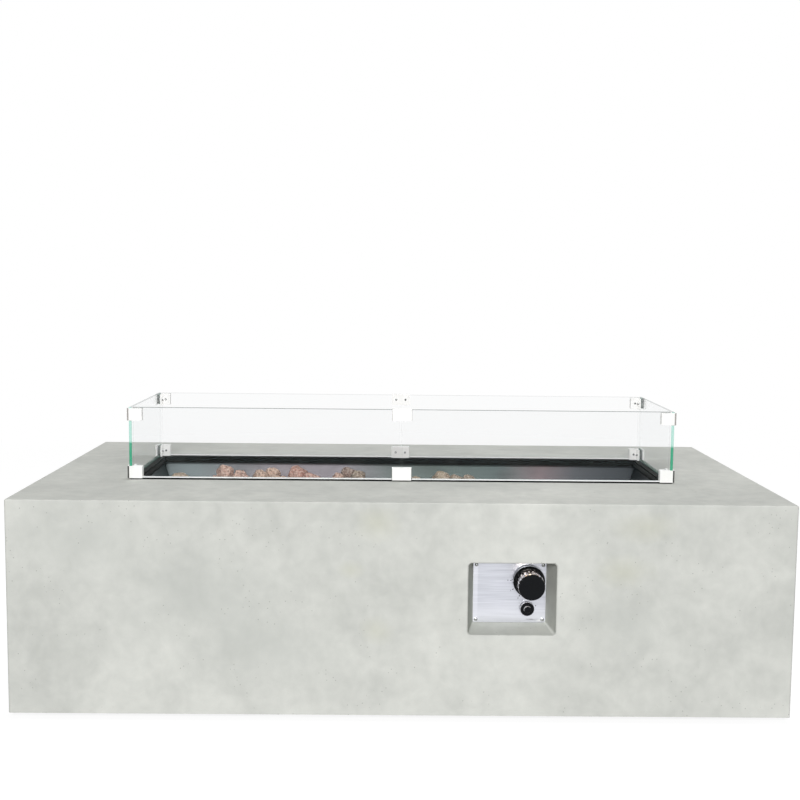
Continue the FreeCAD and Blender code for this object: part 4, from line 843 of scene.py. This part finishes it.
def clip_screw_heads():
    """Socket grub screws in the glass clips."""
    shell = bmesh.new()
    for points in islands(nodes["clip_screws"].data):
        low = Vector([min(p[i] for p in points) for i in range(3)])
        high = Vector([max(p[i] for p in points) for i in range(3)])
        middle = (low + high) / 2
        size = high - low
        axis_index = 0 if size.x > size.y else 1
        way = Vector((0, 0, 0))
        way[axis_index] = -math.copysign(1, middle[axis_index])
        start = middle - way * size[axis_index] / 2
        head_shape(shell, start, way, size.z / 2, size[axis_index], hex_recess, grub_head_steps)
    bmesh.ops.remove_doubles(shell, verts=shell.verts, dist=1e-7)
    screws = new_piece("clip_grub_screws", shell, finishes["bright_steel"], "wind_guard",
                       smooth=False)
    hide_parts("clip_screws")


def mark_bar(shell, corners, front):
    """A thin printed patch on the plate from its corners, given as x and z."""
    back = [shell.verts.new((x, front, z)) for x, z in corners]
    face = [shell.verts.new((x, front - mark_lift, z)) for x, z in corners]
    shell.faces.new(face)
    shell.faces.new(back[::-1])
    for step in range(len(corners)):
        following = (step + 1) % len(corners)
        shell.faces.new((back[step], back[following], face[following], face[step]))


def dial_marks():
    """Ticks round the knob from the off place on its left, and a spark sign by the igniter."""
    knob = sum(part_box("knob_cap"), Vector()) / 2
    igniter_low, igniter_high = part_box("igniter_cap")
    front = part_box("control_plate")[0].y
    shell = bmesh.new()
    centre = Vector((knob.x, knob.z))
    for turn in tick_turns:
        angle = math.radians(turn)
        out = Vector((math.cos(angle), math.sin(angle)))
        across = Vector((-out.y, out.x)) * tick_width / 2
        inner = centre + out * tick_inner
        outer = centre + out * tick_outer
        mark_bar(shell, (inner - across, outer - across, outer + across, inner + across), front)
    spark_x = igniter_high.x + spark_shift[0]
    spark_z = (igniter_low.z + igniter_high.z) / 2 + spark_shift[1]
    star = []
    for step in range(8):
        reach = spark_waist if step % 2 else spark_tips
        angle = math.pi * step / 4
        star.append((spark_x + reach * math.cos(angle), spark_z + reach * math.sin(angle)))
    mark_bar(shell, star, front)
    bmesh.ops.recalc_face_normals(shell, faces=shell.faces)
    new_piece("dial_marks", shell, mark_ink(), "table", smooth=False)


def dial_numbers():
    """Plain numbers beside the first ticks."""
    knob = sum(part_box("knob_cap"), Vector()) / 2
    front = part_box("control_plate")[0].y
    ink = bpy.data.materials["mark_ink"]
    for number, turn in enumerate(number_turns):
        text = bpy.data.curves.new("dial_number_%d" % number, "FONT")
        text.body = str(number)
        text.size = number_height
        text.extrude = mark_lift / 2
        text.align_x = "CENTER"
        text.align_y = "CENTER"
        text.materials.append(ink)
        piece = bpy.data.objects.new(text.name, text)
        bpy.context.scene.collection.objects.link(piece)
        angle = math.radians(turn)
        piece.location = (knob.x + number_reach * math.cos(angle), front - mark_lift / 2,
                          knob.z + number_reach * math.sin(angle))
        piece.rotation_euler = (math.radians(90), 0, 0)
        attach(piece, "table")


def lead(name, points, radius, finish, node):
    """A hose or wire inside the table, on one smooth line between its two fittings."""
    curve = bpy.data.curves.new(name, "CURVE")
    curve.dimensions = "3D"
    curve.bevel_depth = radius
    curve.bevel_resolution = 6
    curve.resolution_u = 12
    line = curve.splines.new("NURBS")
    line.points.add(len(points) - 1)
    for point, place in zip(line.points, points):
        point.co = (*place, 1)
    line.order_u = 3
    line.use_endpoint_u = True
    curve.materials.append(finish)
    piece = bpy.data.objects.new(name, curve)
    bpy.context.scene.collection.objects.link(piece)
    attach(piece, "table")
    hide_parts(node)


def leads():
    """The gas hose to the burner, the spark lead and the flame sensor's capillary."""
    lead("braided_gas_hose", [
        (0.2102, -0.325, 0.2678), (0.1692, -0.325, 0.2678), (0.124, -0.314, 0.254), (0.084, -0.290, 0.234),
        (0.052, -0.250, 0.214), (0.028, -0.204, 0.197), (0.011, -0.155, 0.183), (0.003, -0.105, 0.172),
        (0, -0.060, 0.172), (0, -0.022, 0.190), (0, 0, 0.223), (0, 0, 0.263)],
        0.005, hose_jacket(), "gas_hose")
    lead("insulated_spark_lead", [
        (0.2537, -0.2805, 0.213), (0.2537, -0.2505, 0.213), (0.238, -0.216, 0.215), (0.206, -0.172, 0.224),
        (0.170, -0.130, 0.238), (0.134, -0.092, 0.254), (0.102, -0.060, 0.274), (0.076, -0.038, 0.294),
        (0.063, -0.031, 0.3117), (0.063, -0.031, 0.3317)],
        0.0015, finishes["matt_black"], "spark_lead")
    lead("sensor_capillary", [
        (0.2512, -0.325, 0.2908), (0.2512, -0.325, 0.3128), (0.2432, -0.301, 0.3288), (0.220, -0.258, 0.342),
        (0.192, -0.214, 0.334), (0.164, -0.164, 0.322), (0.140, -0.116, 0.312), (0.120, -0.074, 0.304),
        (0.101, -0.044, 0.302), (0.093, -0.031, 0.318), (0.093, -0.031, 0.340)],
        0.0015, finishes["copper"], "sensor_lead")


leads()
lava_rocks()
plate_screw_heads()
clip_screw_heads()
dial_marks()
dial_numbers()


def seen_rays(tree):
    """A socket that gives 1 for what the lens, a mirror or the glass sees, and 0 for plain light."""
    rays = tree.nodes.new("ShaderNodeLightPath")
    seen = rays.outputs["Is Camera Ray"]
    for other in ("Is Glossy Ray", "Is Transmission Ray"):
        mixed = tree.nodes.new("ShaderNodeMath")
        mixed.operation = "MAXIMUM"
        tree.links.new(seen, mixed.inputs[0])
        tree.links.new(rays.outputs[other], mixed.inputs[1])
        seen = mixed.outputs[0]
    return seen


def add_floor():
    """A plain white floor that takes the table's shadow and fades to bare white far off."""
    shell = bmesh.new()
    bmesh.ops.create_circle(shell, cap_ends=True, segments=96, radius=floor_reach)
    mesh = bpy.data.meshes.new("floor")
    shell.to_mesh(mesh)
    shell.free()
    floor = bpy.data.objects.new("floor", mesh)
    bpy.context.scene.collection.objects.link(floor)
    finish = Finish("floor_paint", {"Roughness": 0.9, "Specular IOR Level": 0.0, "Emission Strength": 1.0})
    spot = finish.node("TexCoord", output=3)
    far = finish.node("VectorMath", {"operation": "LENGTH"}, {0: spot}, output=1)
    fade = finish.spread(far, *floor_fade)
    black = grey(0)
    glow = finish.blend(fade, grey(floor_near), grey(floor_far))
    glow = finish.blend(Wire(finish, seen_rays(finish.tree)), black, glow)
    base = finish.blend(finish.grain(0.8, 2.0), grey(0.24), grey(0.26))
    base = finish.blend(fade, base, black)
    mesh.materials.append(finish.dress({"Base Color": base, "Emission Color": glow}))


def add_sky():
    """Soft even light from all round; the lens and mirrors see it as white."""
    world = bpy.data.worlds.new("studio")
    world.use_nodes = True
    tree = world.node_tree
    shown = tree.nodes["Background"]
    level = tree.nodes.new("ShaderNodeMapRange")
    level.inputs["To Min"].default_value = sky_strength
    level.inputs["To Max"].default_value = 1.0
    tree.links.new(seen_rays(tree), level.inputs["Value"])
    tree.links.new(level.outputs[0], shown.inputs["Strength"])
    shown.inputs["Color"].default_value = grey(1)
    bpy.context.scene.world = world


def add_lamp(name, place, power, size):
    """A square soft box that faces the table."""
    data = bpy.data.lights.new(name, "AREA")
    data.energy = power
    data.size = size
    lamp = bpy.data.objects.new(name, data)
    lamp.location = place
    lamp.rotation_euler = (Vector(lamp_aim) - Vector(place)).to_track_quat("-Z", "Y").to_euler()
    bpy.context.scene.collection.objects.link(lamp)


def add_camera():
    data = bpy.data.cameras.new("camera")
    data.lens = camera_lens
    data.sensor_width = 36
    camera = bpy.data.objects.new("camera", data)
    turn = Matrix.Rotation(math.radians(camera_turn), 4, "Z")
    tilt = Matrix.Rotation(math.radians(90 - camera_down), 4, "X")
    roll = Matrix.Rotation(math.radians(camera_roll), 4, "Z")
    camera.matrix_world = Matrix.Translation(camera_place) @ turn @ tilt @ roll
    bpy.context.scene.collection.objects.link(camera)
    bpy.context.scene.camera = camera


add_floor()
add_sky()
add_lamp("key", key_place, key_power, key_size)
add_lamp("top", top_place, top_power, top_size)
for place, power in fill_lamps:
    add_lamp("fill", place, power, fill_size)
add_camera()
bpy.context.scene.view_settings.view_transform = "Standard"
